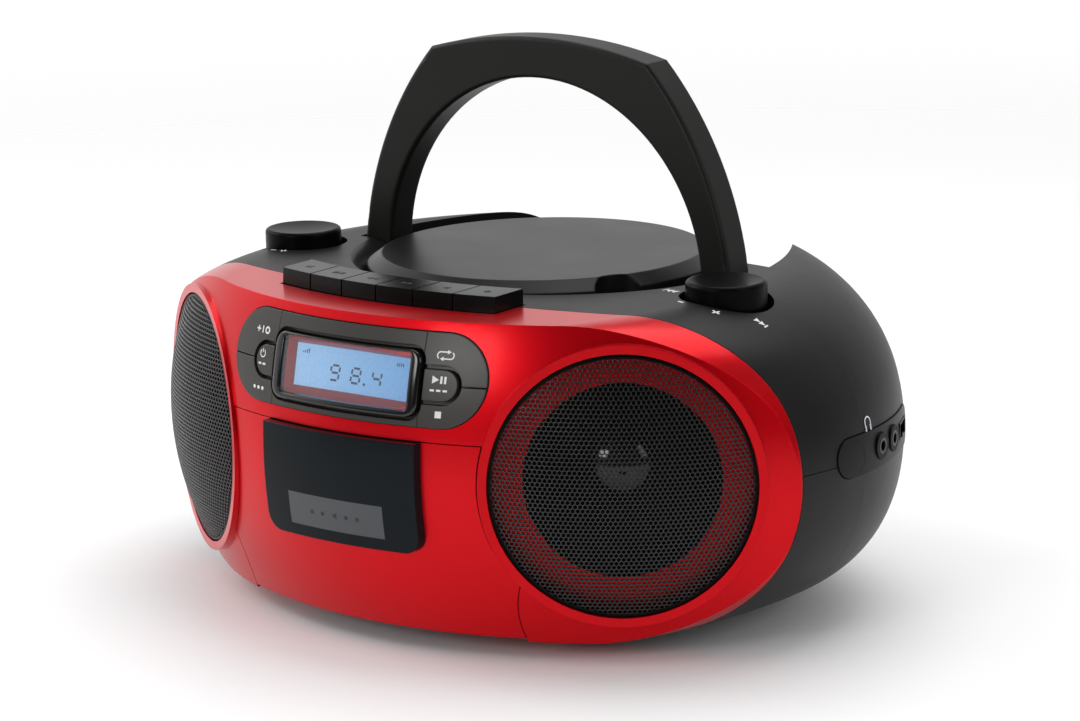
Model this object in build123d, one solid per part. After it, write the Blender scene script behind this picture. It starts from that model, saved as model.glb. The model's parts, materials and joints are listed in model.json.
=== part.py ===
from build123d import *
import os
from math import asin, cos, pi, radians, sin, sqrt

# A portable disc, radio and cassette player. Millimetres, +Z up, the front faces -Y, and the
# origin is under the middle of the case, on the surface that the rubber feet stand on.

# Overall case
overall_depth = 255.0
body_width = 334.0
deck_z = 136.5
base_z = 8.0
split_z = 75.0
wall = 2.5
seam = 0.3
running = 0.05
seat = 0.02
clear = 0.4

# Bowed front face
window_proud = 4.2
front_bow = 195.0
front_bulge = 165.0
bulge_z = 76.0
speaker_turn = 35.2
front_sweep = 62.0

# Rounded ends and rear of the case
end_reach = 63.0
end_fullness = 2.2
end_z = 72.0
rear_bulge = 123.0
rear_z = 80.0
rear_flat = 16.0
girth_y = 1.0
nose_reach = 143.0
loft_levels = 9
parting_bow = 360.0
parting_setback = 48.3

# Speakers
speaker_inset = 7.6
speaker_z = 73.5
grille_radius = 52.8
grille_rise = 11.5
grille_sheet = 0.8
surround_wall = 3.7
surround_proud = 0.8
surround_depth = 12.0
baffle_thick = 2.0
baffle_bore = 39.0
frame_rim = 49.5
basket_depth = 20.0
basket_wall = 1.5
magnet_radius = 26.0
magnet_length = 16.0
cone_throat = 14.0
cone_sheet = 0.8
dust_cap_rise = 5.0

# Control panel and display
panel_z = 114.3
panel_length = 128.0
panel_height = 36.4
panel_flange = 3.0
panel_thick = 1.5
bezel_z = 112.7
bezel_length = 74.0
bezel_height = 26.5
bezel_round = 5.0
bezel_lip = 1.0
lens_proud = 1.0
lens_thick = 1.8
frame_length = 66.0
frame_height = 22.0
screen_length = 57.5
screen_height = 17.0
screen_rise = 1.3
screen_depth = 6.0
screen_margin = 2.0
screen_thick = 8.0
face_proud = 0.6
button_thick = 1.9
button_stem = 3.0
stem_x = 50.0
stem_z = 13.0
pad_stem_x = 44.5
left_pad_length = 11.5
right_pad_length = 15.0
pad_height = 11.8
pad_gap = 1.8
bezel_gap = 1.3
button_gap = 0.2
board_thick = 1.6

# Cassette door and tape drive
door_top = 90.0
door_bottom = 9.5
door_foot = 70.0
door_hip = 74.0
door_hip_z = 35.0
door_axis_setback = 27.3
door_axis_z = 15.0
door_pin = 3.0
knuckle_x = 48.0
knuckle_length = 7.0
knuckle_radius = 4.0
lug_radius = 3.2
lug_thick = 4.0
door_sill_setback = 35.3
window_length = 77.0
window_height = 45.0
window_round = 7.0
window_back = 1.0
window_lip = 2.5
window_wall = 2.0
cassette_length = 100.4
cassette_height = 63.8
cassette_thick = 12.0
holder_wall = 1.6
holder_gap = 0.8
holder_setback = 19.3
holder_z = 23.5
holder_height = 56.5
lip_x = 42.0
rib_x = 46.0
rib_thick = 3.0
chassis_setback = 39.3
chassis_thick = 2.0
chassis_half = 56.0
chassis_foot = 22.0
chassis_top = 101.0
reel_pitch = 42.5
reel_z = 57.0
reel_radius = 4.6
reel_flange = 9.0
reel_pin = 3.0
reel_length = 12.0
capstan_x = 15.0
capstan_z = 86.0
capstan_pin = 3.0
flywheel_radius = 27.0
flywheel_thick = 5.0
flywheel_gap = 1.0
pinch_radius = 6.0
pinch_pin = 2.0
pinch_length = 8.0
head_width = 12.0
head_height = 10.0
tape_motor_radius = 14.0
tape_motor_length = 24.0
tape_motor_x = -34.0
tape_motor_z = 76.0
pulley_radius = 5.0
belt_thick = 1.2
belt_width = 3.0

# Piano keys
key_count = 6
key_pitch = 18.6
key_gap = 0.7
key_row_x = -4.8
key_top = 143.0
key_foot = 130.0
key_depth = 18.8
key_setback = 31.7
key_bow = 227.0
key_lean = 1.2
key_slot_gap = 0.8
key_arm = 12.0
key_rod_setback = 56.8
key_rod_z = 130.0
key_rod_pin = 3.0
key_eye = 3.0
key_lug = 3.0

# Knobs
knob_end_gap = 57.0
knob_y = -11.0
knob_radius = 16.4
knob_round = 1.6
knob_dish = 1.0
knob_top = 143.0
knob_floor = 127.0
knob_lift = 1.0
knob_rim_gap = 2.6
knob_shaft = 6.0
control_radius = 9.0
control_height = 12.0

# Disc bay and lid
lid_y = 15.0
lid_radius = 74.0
lid_flat = 68.0
lid_top = 140.5
lid_shoulder = 136.2
lid_foot = 131.5
lid_sheet = 2.5
lid_rim_gap = 1.0
hollow_levels = [(-8.0, 0.0), (-5.0, 1.4), (-2.5, 5.4), (-0.8, 11.4), (0.0, 17.0), (1.0, 26.0)]
collar_wall = 2.6
ledge_z = 128.0
ledge_width = 4.6
well_radius = 62.5
well_floor = 123.0
well_sheet = 2.0
hub_radius = 16.0
hub_lift = 0.8
hub_thick = 1.8
spindle_radius = 7.4
spindle_rise = 3.0
disc_shaft = 3.0
disc_motor_radius = 13.0
disc_motor_length = 13.0
pickup_start = 18.0
pickup_length = 14.0
pickup_half = 7.5
pickup_drop = 7.0
pickup_travel = 28.0
pickup_lens = 3.0
rail_pin = 3.0
rail_offset = 4.5
lid_axis_back = 69.0
lid_axis_z = 134.5
lid_pin = 2.4
lid_boss_half = 20.4
lid_trim = 1.2
lid_ear_x = 14.0
lid_ear_thick = 4.0
lid_ear_radius = 2.2
thumb_turn = -29.0
thumb_radius = 11.0
thumb_out = 3.0
thumb_wall = 2.0

# Carrying handle
handle_y = 21.0
handle_z = 128.0
handle_thick = 16.0
handle_leg_x = 96.0
handle_inner = 81.0
handle_inner_rise = 3.5
handle_hip_x = 84.5
handle_hip_rise = 50.0
handle_shoulder_x = 56.0
handle_shoulder_rise = 94.3
handle_height = 101.6
handle_edge = 2.0
handle_pin = 6.0
valley_floor = 118.5
valley_gap = 1.2
valley_wall = 2.5
valley_inner = 79.0

# Side sockets, mains inlet, battery bay, aerial, feet and screws
socket_panel_y = 20.0
socket_panel_z = 77.0
socket_panel_length = 75.0
socket_panel_height = 16.0
socket_panel_proud = 0.5
jack_bore = 3.6
jack_collar = 11.0
jack_depth = 18.0
jack_front_y = 14.3
jack_pitch = 13.0
usb_width = 13.2
usb_height = 5.8
usb_sheet = 0.6
usb_y = 43.0
inlet_x = -28.0
inlet_z = 62.0
inlet_length = 22.0
inlet_height = 12.0
inlet_depth = 16.0
inlet_pin = 2.4
inlet_pitch = 8.6
bay_half = 56.0
bay_length = 91.5
bay_top = 50.0
bay_wall = 2.0
contact_size = 12.0
contact_sheet = 0.8
aerial_z = 108.0
aerial_half = 56.0
aerial_rod = 6.0
aerial_tip = 8.0
aerial_channel = 10.0
aerial_setback = 15.5
aerial_pin = 3.0
foot_radius = 9.0
foot_x = 74.0
foot_front_setback = 75.3
foot_rear_setback = 67.5
screw_head = 6.4
screw_head_depth = 2.4
screw_shank = 3.0
screw_length = 14.0
screw_boss = 5.0
screw_x = 90.0
screw_inset = 16.0
main_board_x = 62.0
main_board_front = -44.0
main_board_rear = 26.0
main_board_z = 24.0
transformer_x = -86.0
transformer_y = -6.0
transformer_width = 42.0
transformer_depth = 36.0
transformer_height = 34.0

front_y = -overall_depth / 2 + window_proud
rear_y = overall_depth / 2
bow_y = front_y + front_bow
end_x = body_width / 2 - end_reach
end_rise = deck_z - end_z
turn = radians(speaker_turn)
speaker_x = (front_bow - speaker_inset) * sin(turn)
speaker_y = bow_y - (front_bow - speaker_inset) * cos(turn)
surround_radius = grille_radius + surround_wall
parting_y = front_y + parting_setback
door_axis_y = front_y + door_axis_setback
door_sill_y = front_y + door_sill_setback
holder_front_y = front_y + holder_setback
chassis_y = front_y + chassis_setback
key_front_y = front_y + key_setback
key_rod_y = front_y + key_rod_setback
knob_x = body_width / 2 - knob_end_gap
bay_front = rear_y - bay_length
aerial_y = rear_y - aerial_setback
foot_front_y = front_y + foot_front_setback
foot_rear_y = rear_y - foot_rear_setback
lid_bore = lid_radius + lid_rim_gap
lid_axis_y = lid_y + lid_axis_back
floor_z = base_z + wall
rail_z = well_floor - pickup_drop / 2
pinch_z = capstan_z + capstan_pin / 2 + pinch_radius + running
far = body_width + overall_depth

nodes = {}


def block(x0, x1, y0, y1, z0, z1):
    """A box between two corners."""
    return Pos((x0 + x1) / 2, (y0 + y1) / 2, (z0 + z1) / 2) * Box(x1 - x0, y1 - y0, z1 - z0)


def post(radius, x, y, z0, z1):
    """An upright cylinder."""
    return Pos(x, y, (z0 + z1) / 2) * Cylinder(radius, z1 - z0)


def rod_x(radius, x0, x1, y, z):
    """A cylinder lying along X."""
    return Pos((x0 + x1) / 2, y, z) * Rot(0, 90, 0) * Cylinder(radius, x1 - x0)


def rod_y(radius, x, y0, y1, z):
    """A cylinder lying along Y."""
    return Pos(x, (y0 + y1) / 2, z) * Rot(90, 0, 0) * Cylinder(radius, y1 - y0)


def through_y(outline, y0, y1):
    """A flat outline drawn in the front view, carried from y0 to y1."""
    return Pos(0, y1, 0) * extrude(Plane.XZ * outline, y1 - y0)


def both_sides(piece):
    """The piece and its mirror image across the middle of the case."""
    return [piece, mirror(piece, about=Plane.YZ)]


def group(pieces):
    """Separate solids that share one node."""
    return Compound(children=[solid for piece in pieces for solid in piece.solids()])


# Outer forms of the case
def front_form(offset):
    """What lies behind the bowed front face, moved outward by offset: an upright arc turned about
    the upright axis of the bow."""
    reach = front_bow + offset
    bulge = front_bulge + offset
    low = base_z - front_bow / 8
    high = deck_z + front_bow / 8
    low_reach = reach - bulge + sqrt(bulge**2 - (low - bulge_z) ** 2)
    high_reach = reach - bulge + sqrt(bulge**2 - (high - bulge_z) ** 2)
    outline = [
        Line((0, low), (low_reach, low)),
        ThreePointArc((low_reach, low), (reach, bulge_z), (high_reach, high)),
        Line((high_reach, high), (0, high)),
        Line((0, high), (0, low)),
    ]
    profile = Plane.XZ * make_face(outline)
    return Pos(0, bow_y, 0) * Rot(0, 0, -90 - front_sweep) * revolve(profile, Axis.Z, 2 * front_sweep)


def plan_outline(side, rear):
    """One level of the case seen from above: four quarters of ellipses and two short flats."""
    quarter = 0.5523
    nose = girth_y - nose_reach
    bend_x = rear_flat + quarter * (side - rear_flat)
    rear_bend = girth_y + quarter * (rear - girth_y)
    nose_bend = girth_y + quarter * (nose - girth_y)
    edges = [
        Line((-rear_flat, nose), (rear_flat, nose)),
        Bezier((rear_flat, nose), (bend_x, nose), (side, nose_bend), (side, girth_y)),
        Bezier((side, girth_y), (side, rear_bend), (bend_x, rear), (rear_flat, rear)),
        Line((rear_flat, rear), (-rear_flat, rear)),
        Bezier((-rear_flat, rear), (-bend_x, rear), (-side, rear_bend), (-side, girth_y)),
        Bezier((-side, girth_y), (-side, nose_bend), (-bend_x, nose), (-rear_flat, nose)),
    ]
    return make_face(edges)


def body_form(offset):
    """The whole rounded case, moved outward by offset: plan outlines lofted from base to deck."""
    rise = end_rise + offset
    low = asin((base_z - offset - end_z) / rise)
    sections = []
    for level in range(loft_levels):
        height = sin(low + (pi / 2 - low) * level / (loft_levels - 1))
        z = end_z + rise * height
        side = end_x + (end_reach + offset) * (1 - abs(height) ** end_fullness) ** (1 / end_fullness)
        rear = rear_y + offset - rear_bulge + sqrt(rear_bulge**2 - (z - rear_z) ** 2)
        sections.append(Pos(0, 0, z) * plan_outline(side, rear))
    return loft(sections)


def parting(gap):
    """The upright bowed surface that parts the front fascia from the black cabinets."""
    return post(parting_bow - gap, 0, parting_y + parting_bow, base_z - far / 2, deck_z + far / 2)


def on_speaker(piece):
    """Places a piece, drawn about the Z axis, on the right speaker's axis."""
    aim = Plane(
        origin=(speaker_x, speaker_y, speaker_z),
        x_dir=(cos(turn), sin(turn), 0),
        z_dir=(sin(turn), -cos(turn), 0),
    )
    return aim.location * piece


case_outer = body_form(0)
case_inner = body_form(-wall)
face_outer = front_form(0)
face_inner = front_form(-wall)


def front_patch(outline, outer, inner):
    """An outline in the front view, laid on the bowed face between two offsets from it."""
    return through_y(outline, front_y - far / 8, bow_y) & (front_form(outer) - front_form(inner))


def pill(length, height, x, z):
    """A stadium outline in the front view."""
    return Pos(x, z) * SlotOverall(length, height)


# Front outlines
def panel_outline(grow):
    return pill(panel_length + 2 * grow, panel_height + 2 * grow, 0, panel_z)


def bezel_outline(grow):
    shape = RectangleRounded(bezel_length + 2 * grow, bezel_height + 2 * grow, bezel_round + grow)
    return Pos(0, bezel_z) * shape


def pad_outline(side, length, grow):
    """A key pad with one straight end by the bezel and one round end."""
    start = bezel_length / 2 + clear
    radius = pad_height / 2
    middle = start + length - radius
    straight = Pos((start + middle) / 2, bezel_z) * Rectangle(middle - start, pad_height + 2 * grow)
    shape = straight + Pos(middle, bezel_z) * Circle(radius + grow)
    shape &= Pos(start + far / 2, bezel_z) * Rectangle(far, far)
    return mirror(shape, about=Plane.YZ) if side < 0 else shape


def door_outline(grow, bottom):
    """The cassette door, before the speaker surrounds are cut from its sides."""
    reach = speaker_x - grille_radius / 2
    right = [
        Line((0, door_top + grow), (reach, door_top + grow)),
        Line((reach, door_top + grow), (reach, door_hip_z)),
        Line((reach, door_hip_z), (door_hip + grow, door_hip_z)),
        ThreePointArc(
            (door_hip + grow, door_hip_z),
            (door_foot + 0.5 + grow, (door_hip_z + door_bottom) / 2 + 2.0),
            (door_foot + grow, door_bottom),
        ),
        Line((door_foot + grow, door_bottom), (0, door_bottom)),
        Line((0, door_bottom), (0, door_top + grow)),
    ]
    half = make_face(right)
    if bottom < door_bottom:
        half += Pos((door_foot + grow) / 2, (bottom + door_bottom) / 2) * Rectangle(door_foot + grow, door_bottom - bottom)
    return half + mirror(half, about=Plane.YZ)


def surround_core(radius):
    """Both speaker axes as solid cylinders."""
    core = on_speaker(Pos(0, 0, -surround_depth) * Cylinder(radius, 6 * surround_depth))
    right, left = both_sides(core)
    return right + left


# Front fascia
def make_front_fascia():
    shell = case_outer & face_outer
    shell -= case_inner & face_inner
    shell -= parting(0)
    shell -= through_y(panel_outline(seam), front_y - far / 8, parting_y)
    opening = through_y(door_outline(clear, base_z - far / 8), front_y - far / 8, door_sill_y)
    shell -= opening - surround_core(surround_radius)
    middle = (surround_proud - surround_depth) / 2
    length = surround_proud + surround_depth
    tube = Pos(0, 0, middle) * Cylinder(surround_radius, length)
    tube -= Pos(0, 0, middle + baffle_thick) * Cylinder(grille_radius + seat, length)
    tube -= Pos(0, 0, -surround_depth) * Cylinder(baffle_bore, 4 * baffle_thick)
    shell -= surround_core(surround_radius - surround_wall / 2)
    for piece in both_sides(on_speaker(tube)):
        shell += piece
    lug_start = knuckle_x + knuckle_length / 2 + clear
    lug_end = lug_start + lug_thick
    lug = rod_x(lug_radius, lug_start, lug_end, door_axis_y, door_axis_z)
    lug_low = door_axis_z - lug_radius
    lug_high = door_axis_z + lug_radius
    lug += block(lug_start, lug_end, door_axis_y, parting_y, lug_low, lug_high)
    lug += block(lug_start, lug_end, door_sill_y + clear, parting_y, base_z + 1.0, lug_high)
    lug -= rod_x(door_pin / 2 + seat, 0, far / 4, door_axis_y, door_axis_z)
    for piece in both_sides(lug):
        shell += piece
    return shell - key_slot(key_slot_gap, key_foot - far / 8)


# Piano keys
def key_slot(gap, bottom):
    """The bowed row that the keys stand in."""
    half = key_count * key_pitch / 2 - key_gap / 2
    middle_y = key_front_y + key_bow
    row = block(key_row_x - half - gap, key_row_x + half + gap, parting_y - far / 8, parting_y + far / 8, bottom, key_top)
    ring = post(key_bow + gap, 0, middle_y, bottom, key_top)
    ring -= post(key_bow - key_depth - gap, 0, middle_y, bottom, key_top)
    return row & ring


def make_key(index):
    x = key_row_x + (index - (key_count - 1) / 2) * key_pitch
    half = (key_pitch - key_gap) / 2
    middle_y = key_front_y + key_bow
    height = key_top - key_foot
    lean = Pos(0, middle_y, key_foot + height / 2) * Cone(key_bow, key_bow - key_lean, height)
    cap = block(x - half, x + half, parting_y - far / 8, parting_y + far / 8, key_foot, key_top)
    cap = (cap & lean) - post(key_bow - key_depth, 0, middle_y, key_foot, key_top)
    arm_start = middle_y - sqrt((key_bow - key_depth) ** 2 - x**2) - key_depth / 4
    arm = block(x - key_arm / 2, x + key_arm / 2, arm_start, key_rod_y, key_rod_z - key_eye, key_rod_z + key_eye)
    arm += rod_x(key_eye, x - key_arm / 2, x + key_arm / 2, key_rod_y, key_rod_z)
    return cap + arm - rod_x(key_rod_pin / 2 + running, x - key_pitch, x + key_pitch, key_rod_y, key_rod_z)


# Handle
def handle_outline():
    hip = (handle_hip_x, handle_hip_rise)
    shoulder = (handle_shoulder_x, handle_shoulder_rise)
    foot = -handle_thick / 2
    edges = [
        Line((-handle_leg_x, foot), (handle_leg_x, foot)),
        Line((handle_leg_x, foot), (handle_leg_x, 0)),
        ThreePointArc((handle_leg_x, 0), hip, shoulder),
        ThreePointArc(shoulder, (0, handle_height), (-shoulder[0], shoulder[1])),
        ThreePointArc((-shoulder[0], shoulder[1]), (-hip[0], hip[1]), (-handle_leg_x, 0)),
        Line((-handle_leg_x, 0), (-handle_leg_x, foot)),
    ]
    return make_face(edges)


def make_handle():
    arch = handle_outline() - Pos(0, handle_inner_rise) * Circle(handle_inner)
    arch -= Pos(0, handle_inner_rise - handle_inner / 2) * Rectangle(2 * handle_inner, handle_inner)
    bar = Pos(0, handle_y + handle_thick / 2, handle_z) * extrude(Plane.XZ * arch, handle_thick)
    long_edges = [edge for edge in bar.edges() if edge.geom_type == GeomType.CIRCLE]
    bar = fillet(long_edges, handle_edge)
    half = handle_thick / 2
    ends = rod_x(half, -handle_leg_x - half, handle_leg_x + half, handle_y, handle_z)
    ends += block(-far, far, handle_y - half, handle_y + half, handle_z, handle_z + 2 * handle_height)
    bar &= ends
    return bar - rod_x(handle_pin / 2 + running, -far, far, handle_y, handle_z)


def valley_solid(grow, floor):
    """The trough that the folded handle lies in, seen from above as the handle's own outline."""
    outline = offset(handle_outline(), grow)
    return Pos(0, handle_y, floor) * extrude(outline, far / 8)


# Black cabinets
def lid_hollow(grow, drop):
    """The soft hollow that widens from the front of the lid to its sides: circles that share their front."""
    rings = []
    for level, widening in hollow_levels:
        radius = lid_bore + widening + grow
        rings.append(Pos(0, lid_y + widening, deck_z + level - drop) * Circle(radius))
    return loft(rings)


def make_cabinets():
    shell = (case_outer - case_inner) & parting(seam)
    socket_hole = Plane.YZ * pill(
        socket_panel_length + 2 * seam, socket_panel_height + 2 * seam, socket_panel_y, socket_panel_z
    )
    shell -= Pos(body_width / 3, 0, 0) * extrude(socket_hole, far / 4)
    upper = shell - block(-far, far, -far, far, base_z - far / 8, split_z + seam / 2)
    lower = shell - block(-far, far, -far, far, split_z - seam / 2, deck_z + far / 8)
    return make_top_cabinet(upper), make_bottom_cabinet(lower)


def make_top_cabinet(upper):
    trough = valley_solid(valley_gap + valley_wall, valley_floor - valley_wall)
    trough -= post(lid_bore, 0, lid_y, 0, deck_z + far)
    collar = post(lid_bore + collar_wall, 0, lid_y, ledge_z - wall, deck_z)
    cup_radius = knob_radius + knob_rim_gap + wall
    cups = [post(cup_radius, side * knob_x, knob_y, knob_floor - wall, deck_z) for side in (-1, 1)]
    channel = aerial_channel / 2 + wall
    aerial_box = block(
        -aerial_half - aerial_channel, aerial_half + aerial_channel,
        aerial_y - channel, rear_y + wall, aerial_z - channel, aerial_z + channel,
    )
    lug_reach = key_count * key_pitch / 2 + key_slot_gap
    lugs = []
    for side in (-1, 1):
        edge = key_row_x + side * (lug_reach + key_lug / 2)
        lugs.append(block(
            edge - key_lug / 2, edge + key_lug / 2,
            key_rod_y - key_eye, key_rod_y + key_eye, key_rod_z - key_eye, deck_z - wall / 2,
        ))
    liner = lid_hollow(wall, wall) + post(lid_bore + wall, 0, lid_y, ledge_z - wall, deck_z - wall)
    for piece in [trough, collar, aerial_box, liner] + cups + [lug & parting(seam) for lug in lugs]:
        upper += piece & case_outer
    upper -= lid_hollow(0, 0)
    upper -= valley_solid(valley_gap, valley_floor) - post(valley_inner, 0, lid_y, 0, deck_z + far)
    upper -= post(lid_bore, 0, lid_y, ledge_z, deck_z + far)
    upper -= post(lid_bore - ledge_width, 0, lid_y, ledge_z - far / 8, deck_z)
    for side in (-1, 1):
        upper -= post(knob_radius + knob_rim_gap, side * knob_x, knob_y, knob_floor, deck_z + far / 8)
        upper -= post(knob_shaft, side * knob_x, knob_y, knob_floor - 2 * wall, deck_z)
    half = aerial_channel / 2
    upper -= block(
        -aerial_half - half, aerial_half + half,
        aerial_y - half, rear_y + far / 8, aerial_z - half, aerial_z + half,
    )
    upper -= post(aerial_pin / 2 + seat, aerial_half, aerial_y, aerial_z - channel - seat, aerial_z + channel + seat)
    upper -= rod_x(handle_pin / 2 + seat, -far, far, handle_y, handle_z) & pin_reach()
    upper -= rod_x(key_rod_pin / 2 + seat, -far, far, key_rod_y, key_rod_z)
    return upper - key_slot(key_slot_gap, deck_z - 2 * wall)


def pin_reach():
    """The two stretches that the handle's pins take up."""
    start = lid_bore + collar_wall / 2
    end = handle_leg_x + valley_gap + valley_wall - seat
    right = block(start, end, handle_y - handle_pin, handle_y + handle_pin, handle_z - handle_pin, handle_z + handle_pin)
    pieces = both_sides(right)
    return pieces[0] + pieces[1]


def screw_places():
    rear = foot_rear_y - screw_inset
    front = foot_front_y + screw_inset
    return [(side * screw_x, y) for side in (-1, 1) for y in (front, rear)]


def battery_mouth(gap):
    """The rear underside that the battery cover takes up."""
    return block(-bay_half - gap, bay_half + gap, bay_front - gap, rear_y + wall, base_z - wall, bay_top + gap)


def make_bottom_cabinet(lower):
    lower -= battery_mouth(clear)
    reach = bay_half + clear + bay_wall
    tray = block(-reach, reach, bay_front - clear - bay_wall, rear_y, base_z, bay_top + clear + bay_wall)
    tray -= battery_mouth(clear)
    tray -= block(-bay_half, bay_half, bay_front, rear_y + wall, base_z - wall, bay_top)
    lower += tray & case_outer
    for x, y in screw_places():
        boss = post(screw_boss, x, y, base_z + wall / 2, floor_z + screw_length)
        lower += boss
        lower -= post(screw_shank / 2 + seat, x, y, base_z, floor_z + screw_length)
        lower -= post(screw_head / 2 + seat, x, y, base_z - wall, base_z + screw_head_depth)
    for piece in board_posts(main_board_z - seat):
        lower += piece
    return lower - inlet_body(seat)


# Mains inlet
def inlet_body(grow):
    outline = Pos(inlet_x, inlet_z) * SlotOverall(inlet_length + 2 * grow, inlet_height + 2 * grow)
    return through_y(outline, rear_y - inlet_depth - grow, rear_y - seat) & case_outer


def make_mains_inlet():
    body = inlet_body(0)
    hollow = Pos(inlet_x, inlet_z) * SlotOverall(inlet_length - wall, inlet_height - wall)
    body -= through_y(hollow, rear_y - inlet_depth + wall, rear_y + wall)
    for side in (-1, 1):
        body += rod_y(inlet_pin / 2, inlet_x + side * inlet_pitch / 2, rear_y - inlet_depth + 1.0, rear_y - 4.0, inlet_z)
    return body


# Control panel and display
def front_at(z):
    """Where the bowed face stands on the middle plane at one height."""
    return bow_y - front_bow + front_bulge - sqrt(front_bulge**2 - (z - bulge_z) ** 2)


def on_display(piece):
    """Places a piece, drawn about the Z axis, square to the face behind the display lens."""
    tilt = asin((bezel_z - bulge_z) / front_bulge)
    aim = Plane(
        origin=(0, front_at(bezel_z), bezel_z),
        x_dir=(1, 0, 0),
        z_dir=(0, -cos(tilt), sin(tilt)),
    )
    return aim.location * piece


def slab(length, height, low, high):
    """A box centred on the Z axis between two levels."""
    return Pos(0, 0, (low + high) / 2) * Box(length, height, high - low)


def display_core(grow, depth):
    outline = RectangleRounded(
        bezel_length - 2 * bezel_lip + 2 * grow, bezel_height - 2 * bezel_lip + 2 * grow, bezel_round - bezel_lip
    )
    return on_display(Pos(0, 0, -depth) * extrude(outline, depth + screen_depth))


def stem_places():
    return {
        "button_power": (-pad_stem_x, 0.0),
        "button_play": (pad_stem_x, 0.0),
        "button_preset": (-stem_x, stem_z),
        "button_program": (-stem_x, -stem_z),
        "button_repeat": (stem_x, stem_z),
        "button_halt": (stem_x, -stem_z),
    }


def make_control_panel():
    back = -wall - seat
    panel = front_patch(panel_outline(panel_flange), back, back - panel_thick)
    panel -= block(-far, far, -far, far, deck_z - wall - seat, deck_z + far)
    middle = Pos(0, panel_z) * Rectangle(bezel_length, panel_height)
    strips = (panel_outline(0) & middle) - bezel_outline(bezel_gap)
    panel += front_patch(strips, face_proud, back - panel_thick / 2)
    panel -= display_core(seat, 2 * screen_depth)
    for x, rise in stem_places().values():
        panel -= rod_y(button_stem / 2 + running, x, front_y, parting_y, bezel_z + rise)
    return panel - surround_core(surround_radius + clear)


def make_display_frame():
    frame = display_core(0, screen_depth) & front_form(lens_proud - lens_thick - seat)
    slope_x = (frame_length - screen_length) / (screen_depth - lens_thick)
    slope_z = (frame_height - screen_height) / (screen_depth - lens_thick)
    deep = screen_depth + seat
    tunnel = loft([
        Pos(0, screen_rise, -deep) * Rectangle(screen_length, screen_height),
        Pos(0, -screen_rise, deep) * Rectangle(screen_length + 2 * deep * slope_x, screen_height + 2 * deep * slope_z),
    ])
    return frame - on_display(tunnel)


def make_lcd_module():
    top = -screen_depth - seat
    length = screen_length + 2 * screen_margin
    return on_display(Pos(0, screen_rise) * slab(length, screen_height + 2 * screen_margin, top - screen_thick, top))


def make_control_board():
    top = -screen_depth - screen_thick - 2 * seat
    return on_display(slab(panel_length - panel_flange * 6, panel_height - panel_flange, top - board_thick, top))


def make_buttons():
    """Two pads and the four quarters of the panel's round ends, each with a stem behind it."""
    shapes = {
        "button_power": pad_outline(-1, left_pad_length, 0),
        "button_play": pad_outline(1, right_pad_length, 0),
    }
    reach = panel_length / 2 - bezel_length / 2 - button_gap
    quarters = [("button_preset", -1, 1), ("button_program", -1, -1), ("button_repeat", 1, 1), ("button_halt", 1, -1)]
    for name, side, rise in quarters:
        length = left_pad_length if side < 0 else right_pad_length
        corner = Pos(side * (bezel_length / 2 + button_gap + reach / 2), bezel_z + rise * (panel_height / 2 + seam))
        shapes[name] = (panel_outline(0) & (corner * Rectangle(reach, panel_height))) - pad_outline(side, length, pad_gap)
    for name, shape in shapes.items():
        x, rise = stem_places()[name]
        key = front_patch(shape - bezel_outline(bezel_gap), face_proud, face_proud - button_thick)
        drop = front_bow - sqrt(front_bow**2 - x**2)
        stem_end = front_at(bezel_z + rise) + drop + wall + panel_thick + 2.0
        stem = rod_y(button_stem / 2, x, front_y, stem_end, bezel_z + rise)
        key += stem & front_form(face_proud - button_thick / 2)
        nodes[name] = key - surround_core(surround_radius + clear)


# Speakers
def dome(radius, rise):
    """A shallow cap standing on the XY plane."""
    ball = (radius**2 + rise**2) / (2 * rise)
    half = asin(radius / ball) / 2
    bend = (ball * sin(half), rise - ball + ball * cos(half))
    edges = [
        Line((0, 0), (radius, 0)),
        ThreePointArc((radius, 0), bend, (0, rise)),
        Line((0, rise), (0, 0)),
    ]
    return revolve(Plane.XZ * make_face(edges), Axis.Z)


def disc_between(radius, low, high):
    return Pos(0, 0, (low + high) / 2) * Cylinder(radius, high - low)


def taper(radius_low, radius_high, low, high):
    return Pos(0, 0, (low + high) / 2) * Cone(radius_low, radius_high, high - low)


def make_speaker_grilles():
    inside = grille_radius - grille_sheet
    foot = baffle_thick - surround_depth + seat
    cap = dome(grille_radius, grille_rise) + disc_between(grille_radius, foot, 0)
    cap -= dome(inside, grille_rise - grille_sheet) + disc_between(inside, foot - 1.0, 0)
    return group(both_sides(on_speaker(cap)))


def make_speaker_frames():
    top = -surround_depth - seat
    rim = top - baffle_thick
    floor = rim - basket_depth
    mouth = frame_rim - baffle_thick * 2
    frame = disc_between(frame_rim, rim, top) - disc_between(baffle_bore + 1.0, rim - 1.0, top + 1.0)
    basket = taper(magnet_radius, mouth, floor, rim)
    basket -= taper(magnet_radius - basket_wall, mouth - basket_wall, floor + basket_wall, rim)
    frame += basket + disc_between(magnet_radius, floor - magnet_length, floor)
    return group(both_sides(on_speaker(frame)))


def make_speaker_cones():
    rim = -surround_depth - 2 * seat - baffle_thick
    throat = rim - basket_depth + cone_throat / 3
    floor = rim - basket_depth + basket_wall + 2 * seat
    edge = rim - cone_sheet
    cone = disc_between(baffle_bore + 3.5, edge, rim) - disc_between(baffle_bore - cone_sheet, edge - 1.0, rim + 1.0)
    cone += taper(cone_throat, baffle_bore, throat, rim) - taper(
        cone_throat - cone_sheet, baffle_bore - cone_sheet, throat, rim
    )
    cone += disc_between(cone_throat, floor, throat + cone_sheet)
    cone += Pos(0, 0, throat + cone_sheet) * dome(cone_throat, dust_cap_rise)
    return group(both_sides(on_speaker(cone)))


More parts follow.
